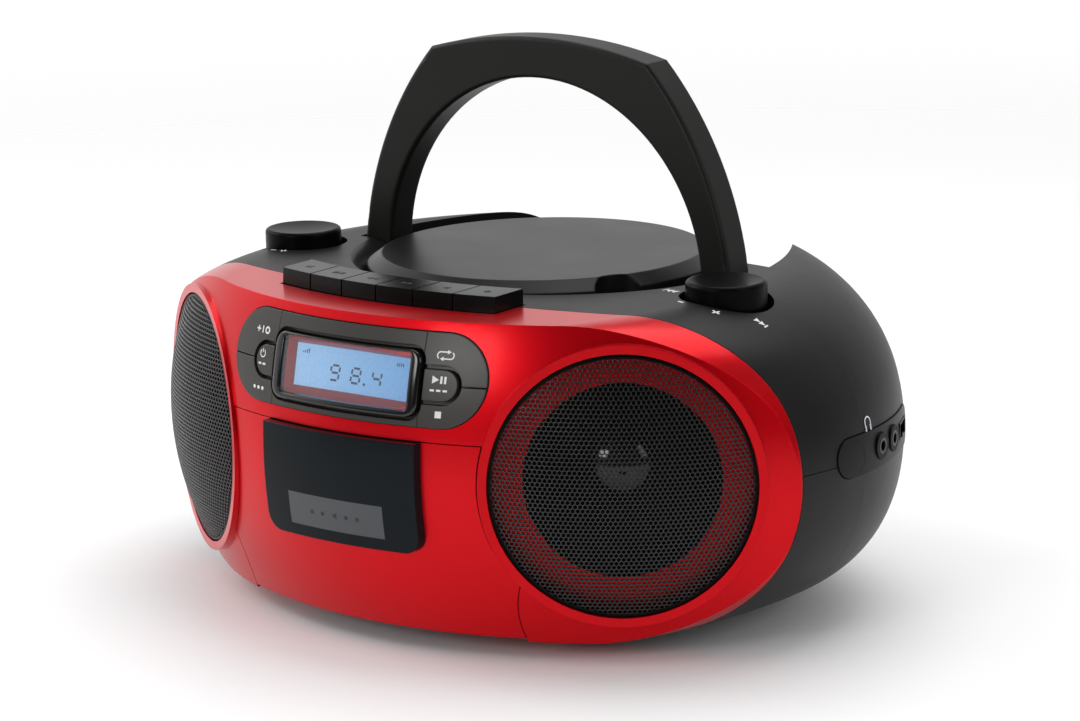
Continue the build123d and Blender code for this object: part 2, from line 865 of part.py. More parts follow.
# Side sockets
def side_at(y):
    """The right end of the case at the height of the sockets: place and outward direction."""
    half = body_width / 2 - rear_flat
    deep = rear_y - girth_y
    x = half * sqrt(1 - ((y - girth_y) / deep) ** 2)
    slope_x = x / half**2
    slope_y = (y - girth_y) / deep**2
    size = sqrt(slope_x**2 + slope_y**2)
    return x + rear_flat, slope_x / size, slope_y / size


def on_side(y, piece):
    """Places a piece, drawn about the Z axis, square to the right end at one depth."""
    x, out_x, out_y = side_at(y)
    aim = Plane(origin=(x, y, socket_panel_z), x_dir=(-out_y, out_x, 0), z_dir=(out_x, out_y, 0))
    return aim.location * piece


def socket_cores(grow):
    cores = []
    for place in (0, 1):
        core = disc_between(jack_collar / 2 + grow, -jack_depth, socket_panel_proud + 0.4)
        cores.append(on_side(jack_front_y + place * jack_pitch, core))
    width = usb_width + 2 * usb_sheet + 2 * grow
    height = usb_height + 2 * usb_sheet + 2 * grow
    cores.append(on_side(usb_y, slab(width, height, -jack_depth, socket_panel_proud)))
    return cores


def make_side_panel():
    outline = Plane.YZ * pill(socket_panel_length, socket_panel_height, socket_panel_y, socket_panel_z)
    panel = Pos(body_width / 3, 0, 0) * extrude(outline, far / 4)
    panel &= body_form(socket_panel_proud) - body_form(0.1 - wall)
    for core in socket_cores(seat):
        panel -= core
    return panel


def make_sockets():
    front_jack, rear_jack, usb = socket_cores(0)
    jacks = []
    for place, jack in enumerate((front_jack, rear_jack)):
        bore = disc_between(jack_bore / 2, 3.0 - jack_depth, jack_depth)
        jacks.append(jack - on_side(jack_front_y + place * jack_pitch, bore))
    usb -= on_side(usb_y, slab(usb_width, usb_height, 2.0 - jack_depth, jack_depth))
    tongue = slab(usb_width - 2.4, 2.0, 1.5 - jack_depth, -2.0)
    usb += on_side(usb_y, Pos(0, usb_height / 5, 0) * tongue)
    return group(jacks), usb


# Boards, transformer, battery bay, feet and screws
def board_posts(top):
    inset = 6.0
    return [
        post(3.0, x, y, base_z + wall / 2, top)
        for x in (inset - main_board_x, main_board_x - inset)
        for y in (main_board_front + inset, main_board_rear - inset)
    ]


def make_main_board():
    top = main_board_z + board_thick
    board = block(-main_board_x, main_board_x, main_board_front, main_board_rear, main_board_z, top)
    board += block(-14, 8, -20, 2, top, top + 3)
    board += block(20, 52, 12, 17, top, top + 22)
    for x, y in ((-46, -28), (-30, -28), (-46, -10)):
        board += post(6.5, x, y, top, top + 20)
    for x, y in ((22, -30), (36, -30), (50, -30), (30, -12)):
        board += post(4.0, x, y, top, top + 11)
    return board


def make_power_transformer():
    x0 = transformer_x - transformer_width / 2
    x1 = transformer_x + transformer_width / 2
    y0 = transformer_y - transformer_depth / 2
    y1 = transformer_y + transformer_depth / 2
    z0 = floor_z + seat
    z1 = z0 + transformer_height
    core = block(x0, x1, y0 + 8.0, y1 - 8.0, z0, z1)
    return core + block(x0 + 7.0, x1 - 7.0, y0, y1, z0 + 6.0, z1 - 6.0)


def make_battery_contacts():
    face = bay_half + clear - seat
    plates = []
    for y in (bay_front + 18.0, bay_front + 50.0):
        plate = block(face - contact_sheet, face, y - contact_size / 2, y + contact_size / 2, 20.0, 20.0 + contact_size)
        coil = Pos(face - contact_sheet - 2.5, y, 20.0 + contact_size / 2) * Rot(0, -90, 0) * Cone(4.5, 2.5, 5.0)
        plates += both_sides(plate + coil)
    return group(plates)


def make_battery_cover():
    return (case_outer - case_inner) & battery_mouth(0)


def make_rubber_feet():
    feet = []
    for y in (foot_front_y, foot_rear_y):
        foot = post(foot_radius, foot_x, y, 0, base_z - seat)
        foot = fillet(foot.edges().group_by(Axis.Z)[0], 2.0)
        feet += both_sides(foot)
    return group(feet)


def make_case_screws():
    screws = []
    for x, y in screw_places():
        top = base_z + screw_head_depth - seat
        screw = post(screw_head / 2, x, y, base_z + 0.2, top)
        screw += post(screw_shank / 2, x, y, top, floor_z + screw_length - 1.0)
        slot = block(x - 2.2, x + 2.2, y - 0.5, y + 0.5, base_z, base_z + 1.4)
        slot += block(x - 0.5, x + 0.5, y - 2.2, y + 2.2, base_z, base_z + 1.4)
        screws.append(screw - slot)
    return group(screws)


# Disc bay
def make_disc_well():
    rim = ledge_z + seat
    low = well_floor
    well = post(lid_bore - seam, 0, lid_y, rim, rim + well_sheet)
    well += post(well_radius + well_sheet, 0, lid_y, low, rim + well_sheet)
    well -= post(well_radius, 0, lid_y, low + well_sheet, rim + 2 * well_sheet)
    well -= post(hub_radius / 4, 0, lid_y, low - 1.0, low + 2 * well_sheet)
    slot_end = pickup_start + pickup_length + pickup_travel + 1.0
    well -= block(
        pickup_start - 1.0, slot_end, lid_y - pickup_half - 0.5, lid_y + pickup_half + 0.5, low - 1.0, low + 2 * well_sheet
    )
    for x0, x1 in ((pickup_start - 3.5, pickup_start - 1.0), (slot_end, slot_end + 2.5)):
        lug = block(x0, x1, lid_y - pickup_half, lid_y + pickup_half, low - pickup_drop, low + well_sheet / 2)
        for side in (-1, 1):
            lug -= rod_x(rail_pin / 2 + seat, x0 - 1.0, x1 + 1.0, lid_y + side * rail_offset, rail_z)
        well += lug
    for side in (-1, 1):
        start = side * lid_ear_x - lid_ear_thick / 2
        ear = block(
            start, start + lid_ear_thick,
            lid_axis_y - lid_ear_radius, lid_axis_y + lid_ear_radius, rim + well_sheet / 2, lid_axis_z,
        )
        ear += rod_x(lid_ear_radius, start, start + lid_ear_thick, lid_axis_y, lid_axis_z)
        well += ear - rod_x(lid_pin / 2 + seat, start - 1.0, start + lid_ear_thick + 1.0, lid_axis_y, lid_axis_z)
    return well


def make_pickup_rails():
    start = pickup_start - 3.5
    end = pickup_start + pickup_length + pickup_travel + 3.5
    return group([rod_x(rail_pin / 2, start, end, lid_y + side * rail_offset, rail_z) for side in (-1, 1)])


def make_laser_pickup():
    top = well_floor + well_sheet - 0.4
    low = well_floor - pickup_drop + 0.5
    sled = block(
        pickup_start, pickup_start + pickup_length, lid_y - pickup_half + 0.3, lid_y + pickup_half - 0.3, low, top
    )
    for side in (-1, 1):
        sled -= rod_x(rail_pin / 2 + running, 0, 2 * well_radius, lid_y + side * rail_offset, rail_z)
    return sled + post(pickup_lens, pickup_start + pickup_length / 2, lid_y, top, top + 1.2)


def make_disc_motor():
    top = well_floor - seat
    motor = post(disc_motor_radius, 0, lid_y, top - disc_motor_length, top)
    return motor - post(disc_shaft / 2 + running, 0, lid_y, top - disc_motor_length + 2.0, top + 1.0)


def make_disc_hub():
    low = well_floor + well_sheet + hub_lift
    hub = post(hub_radius, 0, lid_y, low, low + hub_thick)
    hub += post(spindle_radius, 0, lid_y, low + hub_thick, low + hub_thick + spindle_rise)
    hub += post(disc_shaft / 2, 0, lid_y, well_floor - disc_motor_length + 4.0, low)
    for turn_step in range(3):
        ball = Pos(0, lid_y, low + hub_thick + spindle_rise / 2) * Rot(0, 0, 120 * turn_step)
        hub += ball * Pos(spindle_radius - 1.0, 0, 0) * Sphere(1.3)
    return hub


def lid_turned(points):
    """A solid turned about the lid's axis from radius and height pairs."""
    return Pos(0, lid_y, 0) * revolve(Plane.XZ * make_face(Polyline(*points, close=True)), Axis.Z)


def make_disc_lid():
    rim = [(lid_flat, lid_top), (lid_radius, lid_shoulder), (lid_radius, lid_foot)]
    outer = lid_turned([(0, lid_foot), (0, lid_top)] + rim)
    low = lid_foot - 1.0
    inner_radius = lid_radius - lid_sheet
    inner_rim = [(lid_flat, lid_top - lid_sheet), (inner_radius, lid_shoulder - seam), (inner_radius, low)]
    lid = outer - lid_turned([(0, low), (0, lid_top - lid_sheet)] + inner_rim)
    thumb_reach = lid_radius + thumb_out
    thumb_x = thumb_reach * cos(radians(thumb_turn))
    thumb_y = lid_y + thumb_reach * sin(radians(thumb_turn))
    lid += post(thumb_radius + thumb_wall, thumb_x, thumb_y, lid_foot, lid_top) & outer
    lid -= post(thumb_radius, thumb_x, thumb_y, low, lid_top + 1.0)
    envelope = outer + post(lid_radius, 0, lid_y, 0, lid_foot + seam)
    rear = lid_y + lid_radius - lid_trim
    lid -= block(-lid_radius, lid_radius, rear, rear + lid_radius, lid_foot - 1.0, lid_top + 1.0)
    start = lid_ear_x + lid_ear_thick / 2 + clear
    for piece in both_sides(rod_x(lid_ear_radius, start, lid_boss_half, lid_axis_y, lid_axis_z) + block(
        start, lid_boss_half, lid_axis_y - lid_ear_radius, lid_axis_y + lid_ear_radius, lid_axis_z, lid_top - lid_sheet / 2,
    )):
        lid += piece & envelope
    start = lid_ear_x - lid_ear_thick / 2 - clear
    end = lid_ear_x + lid_ear_thick / 2 + clear
    for piece in both_sides(block(start, end, lid_axis_y - 3.4, rear + 1.0, lid_foot - 1.0, lid_axis_z + 2.7)):
        lid -= piece
    return lid - rod_x(lid_pin / 2 + running, -lid_radius, lid_radius, lid_axis_y, lid_axis_z)


# Tape drive
def make_tape_chassis():
    back = chassis_y + chassis_thick
    plate = block(-chassis_half, chassis_half, chassis_y, back, chassis_foot, chassis_top)
    for piece in both_sides(block(34.0, 44.0, chassis_y, back, floor_z + seat, chassis_foot)):
        plate += piece
    for side in (-1, 1):
        plate += rod_y(reel_pin / 2, side * reel_pitch / 2, chassis_y - reel_length + 2.0, chassis_y, reel_z)
    plate += rod_y(pinch_pin / 2, capstan_x, chassis_y - pinch_length - 2.0, chassis_y, pinch_z)
    plate -= rod_y(capstan_pin / 2 + running, capstan_x, chassis_y - 1.0, back + 1.0, capstan_z)
    return plate


def make_spindle(side):
    x = side * reel_pitch / 2
    near = chassis_y - seam
    spindle = rod_y(reel_flange, x, near - 2.0, near, reel_z)
    spindle += rod_y(reel_radius, x, near - reel_length, near, reel_z)
    for step in range(3):
        fin = Pos(x, near - reel_length / 2, reel_z) * Rot(0, 120 * step, 0)
        spindle += fin * Pos(reel_radius, 0, 0) * Box(2.0, reel_length, 1.4)
    return spindle - rod_y(reel_pin / 2 + running, x, near - reel_length + 1.5, near + 1.0, reel_z)


def make_flywheel():
    front = chassis_y + chassis_thick + flywheel_gap
    wheel = rod_y(flywheel_radius, capstan_x, front, front + flywheel_thick, capstan_z)
    wheel -= rod_y(flywheel_radius - 5.0, capstan_x, front + flywheel_thick - 2.0, front + flywheel_thick + 1.0, capstan_z)
    wheel += rod_y(6.0, capstan_x, front, front + flywheel_thick, capstan_z)
    return wheel + rod_y(capstan_pin / 2, capstan_x, chassis_y - pinch_length - 1.0, front + 1.0, capstan_z)


def make_pinch_roller():
    near = chassis_y - seam
    roller = rod_y(pinch_radius, capstan_x, near - pinch_length, near, pinch_z)
    return roller - rod_y(pinch_pin / 2 + running, capstan_x, near - 2 * pinch_length, near + 1.0, pinch_z)


def make_tape_motor():
    front = chassis_y + chassis_thick + seat
    face = front + flywheel_gap + flywheel_thick + 1.0
    motor = rod_y(tape_motor_radius, tape_motor_x, face, face + tape_motor_length, tape_motor_z)
    for side in (-1, 1):
        motor += rod_y(2.0, tape_motor_x - 5.5, front, face + 1.0, tape_motor_z + side * 9.5)
    return motor - rod_y(1.0 + running, tape_motor_x, face - 1.0, face + tape_motor_length / 2, tape_motor_z)


def make_motor_pulley():
    front = chassis_y + chassis_thick + flywheel_gap
    pulley = rod_y(pulley_radius, tape_motor_x, front, front + flywheel_thick, tape_motor_z)
    return pulley + rod_y(1.0, tape_motor_x, front, front + flywheel_thick + tape_motor_length / 2, tape_motor_z)


def belt_loop(grow):
    near = Pos(tape_motor_x, tape_motor_z) * Circle(pulley_radius + grow)
    wide = Pos(capstan_x, capstan_z) * Circle(flywheel_radius + grow)
    return make_hull(near.edges() + wide.edges())


def make_drive_belt():
    middle = chassis_y + chassis_thick + flywheel_gap + flywheel_thick / 2
    loop = belt_loop(running + belt_thick) - belt_loop(running)
    return through_y(loop, middle - belt_width / 2, middle + belt_width / 2)


def make_tape_head():
    near = chassis_y - seat
    low = holder_z + holder_height + 1.5
    head = block(-head_width / 2, head_width / 2, near - 9.0, near, low, low + head_height)
    bottom = head.edges().filter_by(Axis.Y).group_by(Axis.Z)[0]
    head = fillet(bottom, 3.0)
    return head + block(-head_width * 0.65, head_width * 0.65, near - 2.0, near, low + head_height - 3.0, low + head_height)


# Cassette door
def window_outline(grow):
    """The smoked window: rounded below, and cut straight along the door's top edge."""
    tall = window_height + 2 * window_round
    shape = Pos(0, door_top - window_height + tall / 2) * RectangleRounded(
        window_length + 2 * grow, tall + 2 * grow, window_round + grow
    )
    return shape & (Pos(0, door_top - window_height) * Rectangle(2 * window_length, 2 * window_height + 2 * min(grow, 0)))


def make_cassette_door():
    door = front_patch(door_outline(0, door_bottom), 0, -wall)
    door -= surround_core(surround_radius + clear)
    door -= front_patch(window_outline(seat), wall, -window_back - seat)
    door -= through_y(window_outline(-window_lip), front_y - far / 8, parting_y)
    half = knuckle_length / 2
    knuckle = rod_x(knuckle_radius, knuckle_x - half, knuckle_x + half, door_axis_y, door_axis_z)
    knuckle += block(
        knuckle_x - half, knuckle_x + half,
        front_y, door_axis_y, door_axis_z - knuckle_radius, door_axis_z + knuckle_radius,
    )
    knuckle &= front_form(-wall / 2)
    knuckle -= rod_x(door_pin / 2 + running, 0, far / 4, door_axis_y, door_axis_z)
    rib = block(rib_x - rib_thick / 2, rib_x + rib_thick / 2, front_y, holder_front_y - seat, 30.0, 75.0)
    rib &= front_form(-wall / 2)
    for piece in both_sides(knuckle) + both_sides(rib):
        door += piece
    return door


def make_door_window():
    pane = front_patch(window_outline(0), window_proud, -window_back)
    return pane - front_patch(window_outline(-window_wall), window_proud - window_wall, -window_back - 1.0)


def make_cassette_holder():
    inside = cassette_length / 2 + holder_gap
    outside = inside + holder_wall
    rear = holder_front_y + cassette_thick + 2 * holder_wall
    top = holder_z + holder_height
    holder = block(-outside, outside, holder_front_y, rear, holder_z, top)
    holder -= block(
        -inside, inside, holder_front_y + holder_wall, rear - holder_wall, holder_z + holder_wall, top + 1.0
    )
    holder -= block(-lip_x, lip_x, holder_front_y - 1.0, holder_front_y + 2 * holder_wall, holder_z + 9.0, top + 1.0)
    return holder - block(-lip_x, lip_x, rear - 2 * holder_wall, rear + 1.0, holder_z + 6.0, top + 1.0)


# Pins and rods
def make_hinge_pins():
    inner = knuckle_x - knuckle_length / 2
    outer = knuckle_x + knuckle_length / 2 + clear + lug_thick
    pins = both_sides(rod_x(door_pin / 2, inner, outer, door_axis_y, door_axis_z))
    pins.append(rod_x(lid_pin / 2, -lid_boss_half, lid_boss_half, lid_axis_y, lid_axis_z))
    channel = aerial_channel / 2 + wall
    pins.append(post(aerial_pin / 2, aerial_half, aerial_y, aerial_z - channel, aerial_z + channel))
    return group(pins)


def make_key_rod():
    reach = key_count * key_pitch / 2 + key_slot_gap + key_lug
    return rod_x(key_rod_pin / 2, key_row_x - reach, key_row_x + reach, key_rod_y, key_rod_z)


def make_handle_pins():
    return group([rod_x(handle_pin / 2, -far, far, handle_y, handle_z) & pin_reach()])


# Knobs
def make_knob(side):
    low = knob_floor + knob_lift
    knob = post(knob_radius, side * knob_x, knob_y, low, knob_top)
    knob = fillet(knob.edges().group_by(Axis.Z)[-1], knob_round)
    dish_radius = knob_radius - knob_round
    ball = (dish_radius**2 + knob_dish**2) / (2 * knob_dish)
    knob -= Pos(side * knob_x, knob_y, knob_top - knob_dish + ball) * Sphere(ball)
    knob -= post(knob_radius - wall, side * knob_x, knob_y, low - 1.0, knob_top - 2 * wall)
    knob += post(knob_shaft, side * knob_x, knob_y, low, knob_top - wall)
    return knob + post(knob_shaft / 2, side * knob_x, knob_y, knob_floor - wall - control_height / 2, low + 1.0)


def make_rotary_controls():
    top = knob_floor - wall - seat
    control = post(control_radius, knob_x, knob_y, top - control_height, top)
    control += post(knob_shaft - seat, knob_x, knob_y, top, knob_floor)
    bore = post(knob_shaft / 2 + running, knob_x, knob_y, top - control_height + 2.0, knob_floor + 1.0)
    return group(both_sides(control - bore))


# Aerial
def make_antenna():
    start = aerial_pin
    rod = rod_x(aerial_rod / 2, -aerial_half, aerial_half - start, aerial_y, aerial_z)
    rod += rod_x(aerial_tip / 2, -aerial_half - 3.0, -aerial_half + 2.0, aerial_y, aerial_z)
    rod += post(aerial_rod / 2 + 1.2, aerial_half, aerial_y, aerial_z - 4.0, aerial_z + 4.0)
    return rod - post(aerial_pin / 2 + running, aerial_half, aerial_y, aerial_z - 6.0, aerial_z + 6.0)


nodes["front_fascia"] = make_front_fascia()
nodes["top_cabinet"], nodes["bottom_cabinet"] = make_cabinets()
nodes["control_panel"] = make_control_panel()
nodes["display_lens"] = front_patch(bezel_outline(0), lens_proud, lens_proud - lens_thick)
nodes["display_frame"] = make_display_frame()
nodes["lcd_module"] = make_lcd_module()
nodes["control_board"] = make_control_board()
make_buttons()
nodes["speaker_grilles"] = make_speaker_grilles()
nodes["speaker_frames"] = make_speaker_frames()
nodes["speaker_cones"] = make_speaker_cones()
nodes["side_panel"] = make_side_panel()
nodes["audio_jacks"], nodes["usb_socket"] = make_sockets()
nodes["main_board"] = make_main_board()
nodes["power_transformer"] = make_power_transformer()
nodes["mains_inlet"] = make_mains_inlet()
nodes["battery_contacts"] = make_battery_contacts()
nodes["battery_cover"] = make_battery_cover()
nodes["rubber_feet"] = make_rubber_feet()
nodes["case_screws"] = make_case_screws()
nodes["disc_well"] = make_disc_well()
nodes["pickup_rails"] = make_pickup_rails()
nodes["laser_pickup"] = make_laser_pickup()
nodes["disc_motor"] = make_disc_motor()
nodes["disc_hub"] = make_disc_hub()
nodes["disc_lid"] = make_disc_lid()
nodes["tape_chassis"] = make_tape_chassis()
nodes["supply_spindle"] = make_spindle(-1)
nodes["takeup_spindle"] = make_spindle(1)
nodes["flywheel"] = make_flywheel()
nodes["pinch_roller"] = make_pinch_roller()
nodes["tape_motor"] = make_tape_motor()
nodes["motor_pulley"] = make_motor_pulley()
nodes["drive_belt"] = make_drive_belt()
nodes["tape_head"] = make_tape_head()
nodes["cassette_door"] = make_cassette_door()
nodes["door_window"] = make_door_window()
nodes["cassette_holder"] = make_cassette_holder()
nodes["hinge_pins"] = make_hinge_pins()
nodes["key_rod"] = make_key_rod()
nodes["handle_pins"] = make_handle_pins()
key_names = ["pause", "stop", "rewind", "forward", "play", "record"]
for index, name in enumerate(key_names):
    nodes[f"key_{name}"] = make_key(index)
nodes["volume_knob"] = make_knob(-1)
nodes["tuning_knob"] = make_knob(1)
nodes["rotary_controls"] = make_rotary_controls()
nodes["antenna"] = make_antenna()
nodes["handle"] = make_handle()

os.makedirs("parts", exist_ok=True)
for name, shape in nodes.items():
    print(name, len(shape.solids()), round(shape.volume))
    export_step(shape, f"parts/{name}.step")
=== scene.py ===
# %% [markdown]
# A portable disc, radio and cassette player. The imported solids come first, as a frame that nothing here
# moves. Everything after them is looks: light, finishes, and the thin or fine pieces that a solid model
# leaves out. All lengths are in millimetres until a mesh is filled, and then in metres.

# %% Load the frame
import json
import math

import bpy
import numpy as np
from mathutils import Matrix, Vector


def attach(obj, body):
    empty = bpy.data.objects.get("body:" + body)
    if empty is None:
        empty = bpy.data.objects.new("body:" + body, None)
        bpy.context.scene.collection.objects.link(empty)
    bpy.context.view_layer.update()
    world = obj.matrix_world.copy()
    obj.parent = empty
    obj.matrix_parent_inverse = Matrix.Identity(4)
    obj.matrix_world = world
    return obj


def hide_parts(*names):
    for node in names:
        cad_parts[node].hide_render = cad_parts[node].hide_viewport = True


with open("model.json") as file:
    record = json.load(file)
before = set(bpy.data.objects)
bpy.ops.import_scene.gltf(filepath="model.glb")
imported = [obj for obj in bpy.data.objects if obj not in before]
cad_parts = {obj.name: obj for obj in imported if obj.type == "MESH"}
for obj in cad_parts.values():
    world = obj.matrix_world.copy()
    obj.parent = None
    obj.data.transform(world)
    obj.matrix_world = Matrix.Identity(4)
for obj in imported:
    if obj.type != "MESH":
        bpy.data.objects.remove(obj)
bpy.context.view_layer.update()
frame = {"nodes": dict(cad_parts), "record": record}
nodes = frame["nodes"]
MM = 0.001

# %% [markdown]
# The front of the case is a shallow barrel: an upright arc turned about an upright axis. Prints, the
# display's bezel and the window's label all lie on it, so its equation is needed once, here.

# %% The bowed front
FRONT_BOW = 195.0
FRONT_BULGE = 165.0
BULGE_Z = 76.0
BOW_Y = 71.7


def on_front(x, z, rise):
    """Points on the barrel, moved out by rise: at height z the barrel's radius is the difference of the
    two bends plus the upright arc's half chord there, and y lies on the circle of that radius."""
    radius = FRONT_BOW - FRONT_BULGE + np.sqrt((FRONT_BULGE + rise) ** 2 - (z - BULGE_Z) ** 2)
    return np.stack([x, BOW_Y - np.sqrt(radius**2 - x**2), z], axis=-1)


print("front at the middle:", on_front(np.zeros(1), np.array([BULGE_Z]), 0.0).round(1).tolist())

# %% [markdown]
# A finish is a small net of nodes. Writing sums of sockets as plain Python keeps such nets short: this
# class wraps one socket, and adding or multiplying two of them adds the node that does it.


# %% Sums of sockets
class Socket:
    """One output socket of a material, with sums written as in Python."""

    def __init__(self, tree, socket):
        self.tree = tree
        self.socket = socket

    def node(self, kind, settings=None, inputs=None, output=0):
        """Any other node: its settings first, then the values or links of its sockets."""
        made = self.tree.nodes.new(kind)
        for name, value in (settings or {}).items():
            setattr(made, name, value)
        for key, value in (inputs or {}).items():
            if isinstance(value, Socket):
                self.tree.links.new(value.socket, made.inputs[key])
            else:
                made.inputs[key].default_value = value
        return Socket(self.tree, made.outputs[output])

    def math(self, operation, first, second=0.0):
        """One sum of two values or sockets, named as Blender names it."""
        return self.node("ShaderNodeMath", {"operation": operation}, {0: first, 1: second})

    def __add__(self, other):
        return self.math("ADD", self, other)

    def __radd__(self, other):
        return self.math("ADD", other, self)

    def __sub__(self, other):
        return self.math("SUBTRACT", self, other)

    def __rsub__(self, other):
        return self.math("SUBTRACT", other, self)

    def __mul__(self, other):
        return self.math("MULTIPLY", self, other)

    def __rmul__(self, other):
        return self.math("MULTIPLY", other, self)

    def __truediv__(self, other):
        return self.math("DIVIDE", self, other)

    def __pow__(self, other):
        return self.math("POWER", self, other)

    def above(self, edge, width):
        """0 below the edge and 1 above it, with a soft step of that width."""
        return self.node(
            "ShaderNodeMapRange",
            {"interpolation_type": "SMOOTHSTEP"},
            {"Value": self, "From Min": edge - width / 2, "From Max": edge + width / 2},
        )

    def noise(self, size, detail=2.0):
        """Cloudy noise whose patches are about size millimetres wide, read at this place."""
        return self.node("ShaderNodeTexNoise", None, {"Vector": self, "Scale": 1 / (size * MM), "Detail": detail})

    def axis(self, name):
        """One coordinate of a place, in millimetres."""
        split = self.node("ShaderNodeSeparateXYZ", None, {"Vector": self}, name)
        return split * (1 / MM)

    def mix(self, low, high):
        """A colour between two, with this socket as the share of the second."""
        return self.node(
            "ShaderNodeMix",
            {"data_type": "RGBA"},
            {"Factor": self, 6: low, 7: high},
            2,
        )


def start_finish(name):
    """A new material, with its main shader and the place on the piece."""
    material = bpy.data.materials.new(name)
    material.use_nodes = True
    tree = material.node_tree
    shader = tree.nodes["Principled BSDF"]
    place = Socket(tree, tree.nodes.new("ShaderNodeTexCoord").outputs["Object"])
    return material, shader, place


def feed(shader, **values):
    """Sets or links the shader's sockets. Base_Color stands for the socket named Base Color."""
    for name, value in values.items():
        socket = shader.inputs[name.replace("_", " ")]
        if isinstance(value, Socket):
            value.tree.links.new(value.socket, socket)
        else:
            socket.default_value = value


def relief(place, height, depth, edge):
    """A bumped normal: the height pattern, this many millimetres deep, over edges rounded by edge."""
    rounded = place.node("ShaderNodeBevel", {"samples": 4}, {"Radius": edge * MM})
    return place.node(
        "ShaderNodeBump", None, {"Strength": 1.0, "Distance": depth * MM, "Height": height, "Normal": rounded}
    )


def colour(red, green, blue):
    """A colour given as the 0 to 255 values seen on a screen, turned into light."""
    screen = np.array([red, green, blue]) / 255
    light = np.where(screen <= 0.04045, screen / 12.92, ((screen + 0.055) / 1.055) ** 2.4)
    return (*light.tolist(), 1.0)


print("sockets can be added, taken away, multiplied and mixed")

# %% [markdown]
# The camera stands where the photograph was taken from: to the right of the front and a little above
# the deck. Its place and lens come from fitting the outlines of the case to the picture.

# %% Camera
AZIMUTH, ELEVATION, ROLL = np.radians([36.885, 13.032, -1.316])
CAMERA_PLACE = np.array([880.8, -1162.6, 432.0])
LENS = 118.6
SENSOR = 36.0

backward = np.array([
    math.sin(AZIMUTH) * math.cos(ELEVATION),
    -math.cos(AZIMUTH) * math.cos(ELEVATION),
    math.sin(ELEVATION),
])
level_right = np.cross(-backward, [0.0, 0.0, 1.0])
level_right /= np.linalg.norm(level_right)
level_up = np.cross(level_right, -backward)
right = level_right * math.cos(ROLL) + level_up * math.sin(ROLL)
up = level_up * math.cos(ROLL) - level_right * math.sin(ROLL)

camera = bpy.data.objects.new("camera", bpy.data.cameras.new("camera"))
bpy.context.scene.collection.objects.link(camera)
turn = Matrix((right, up, backward)).transposed().to_4x4()
camera.matrix_world = Matrix.Translation(Vector(CAMERA_PLACE * MM)) @ turn
camera.data.sensor_width = SENSOR
camera.data.lens = LENS
camera.data.clip_start = 0.05
camera.data.clip_end = 60.0
bpy.context.scene.camera = camera
bpy.context.scene.view_settings.view_transform = "Standard"
print("camera", round(float(np.linalg.norm(CAMERA_PLACE))), "mm away")

# %% [markdown]
# A photographer's table: a wide pale floor, a white surround, a large soft lamp overhead and weaker
# ones at the sides and in front. The world is plain white only to the camera and to reflections, and
# dimmer as a light, so the floor keeps the soft shadow under the case. The photographer's half of the
# room is dim, so upright black faces that mirror it stay black. Where that half ends is read from the
# photograph: the display's clear pane mirrors the edge as a slanting line.

# %% World and lamps
AMBIENT = 0.8
DIM_SIDE = (0.623, -0.561, -0.545)
DIM_EDGE = 0.1
DIM_SHARE = 0.9
DIM_LIGHT = 0.55
LEFT_SHARE = 0.28
CEILING_SHARE = 0.65
CEILING_EDGE = 0.6
CEILING_WIDTH = 0.6

world = bpy.data.worlds.new("studio")
bpy.context.scene.world = world
world.use_nodes = True
sky = world.node_tree
path = Socket(sky, sky.nodes.new("ShaderNodeLightPath").outputs["Is Camera Ray"])
glossy = Socket(sky, path.socket.node.outputs["Is Glossy Ray"])
seen_through = Socket(sky, path.socket.node.outputs["Is Transmission Ray"])
heading = Socket(sky, sky.nodes.new("ShaderNodeTexCoord").outputs["Generated"])


def facing(direction):
    """How far a ray points in the direction, from -1 to 1: their dot product."""
    return heading.node("ShaderNodeVectorMath", {"operation": "DOT_PRODUCT"}, {0: heading, 1: direction}, "Value")


dim = facing(DIM_SIDE).above(0.0, DIM_EDGE)
from_left = 1.0 - LEFT_SHARE + facing((-1.0, 0.0, 0.0)) * LEFT_SHARE
ceiling = facing((0.0, 0.0, 1.0)).above(CEILING_EDGE, CEILING_WIDTH)
room = (1.0 - dim * DIM_SHARE) * from_left * (1.0 - ceiling * CEILING_SHARE)
mirrored = path.math("MINIMUM", glossy + seen_through, 1.0) * (1.0 - path)
strength = path + mirrored * room + (1.0 - path) * (1.0 - mirrored) * (1.0 - dim * DIM_LIGHT) * AMBIENT
sky.nodes["Background"].inputs["Color"].default_value = (1.0, 1.0, 1.0, 1.0)
sky.links.new(strength.socket, sky.nodes["Background"].inputs["Strength"])


def soft_lamp(name, place, target, size, watts):
    """A rectangular lamp at place, in metres, turned to face the target."""
    lamp = bpy.data.objects.new(name, bpy.data.lights.new(name, "AREA"))
    lamp.data.shape = "RECTANGLE"
    lamp.data.size = size[0]
    lamp.data.size_y = size[1]
    lamp.data.energy = watts
    lamp.location = place
    lamp.rotation_euler = (Vector(target) - Vector(place)).to_track_quat("-Z", "Y").to_euler()
    bpy.context.scene.collection.objects.link(lamp)


soft_lamp("lamp_over", (0.0, 0.45, 1.3), (0.0, 0.0, 0.1), (1.2, 0.9), 8.5)
soft_lamp("lamp_left", (-1.4, -0.3, 1.0), (0.0, 0.0, 0.08), (0.7, 0.7), 6.5)
soft_lamp("lamp_right", (1.5, -0.1, 0.7), (0.0, 0.0, 0.08), (0.7, 0.7), 3.5)
soft_lamp("lamp_front", (-0.1, -1.5, 0.6), (0.0, 0.0, 0.1), (0.5, 0.4), 5.0)
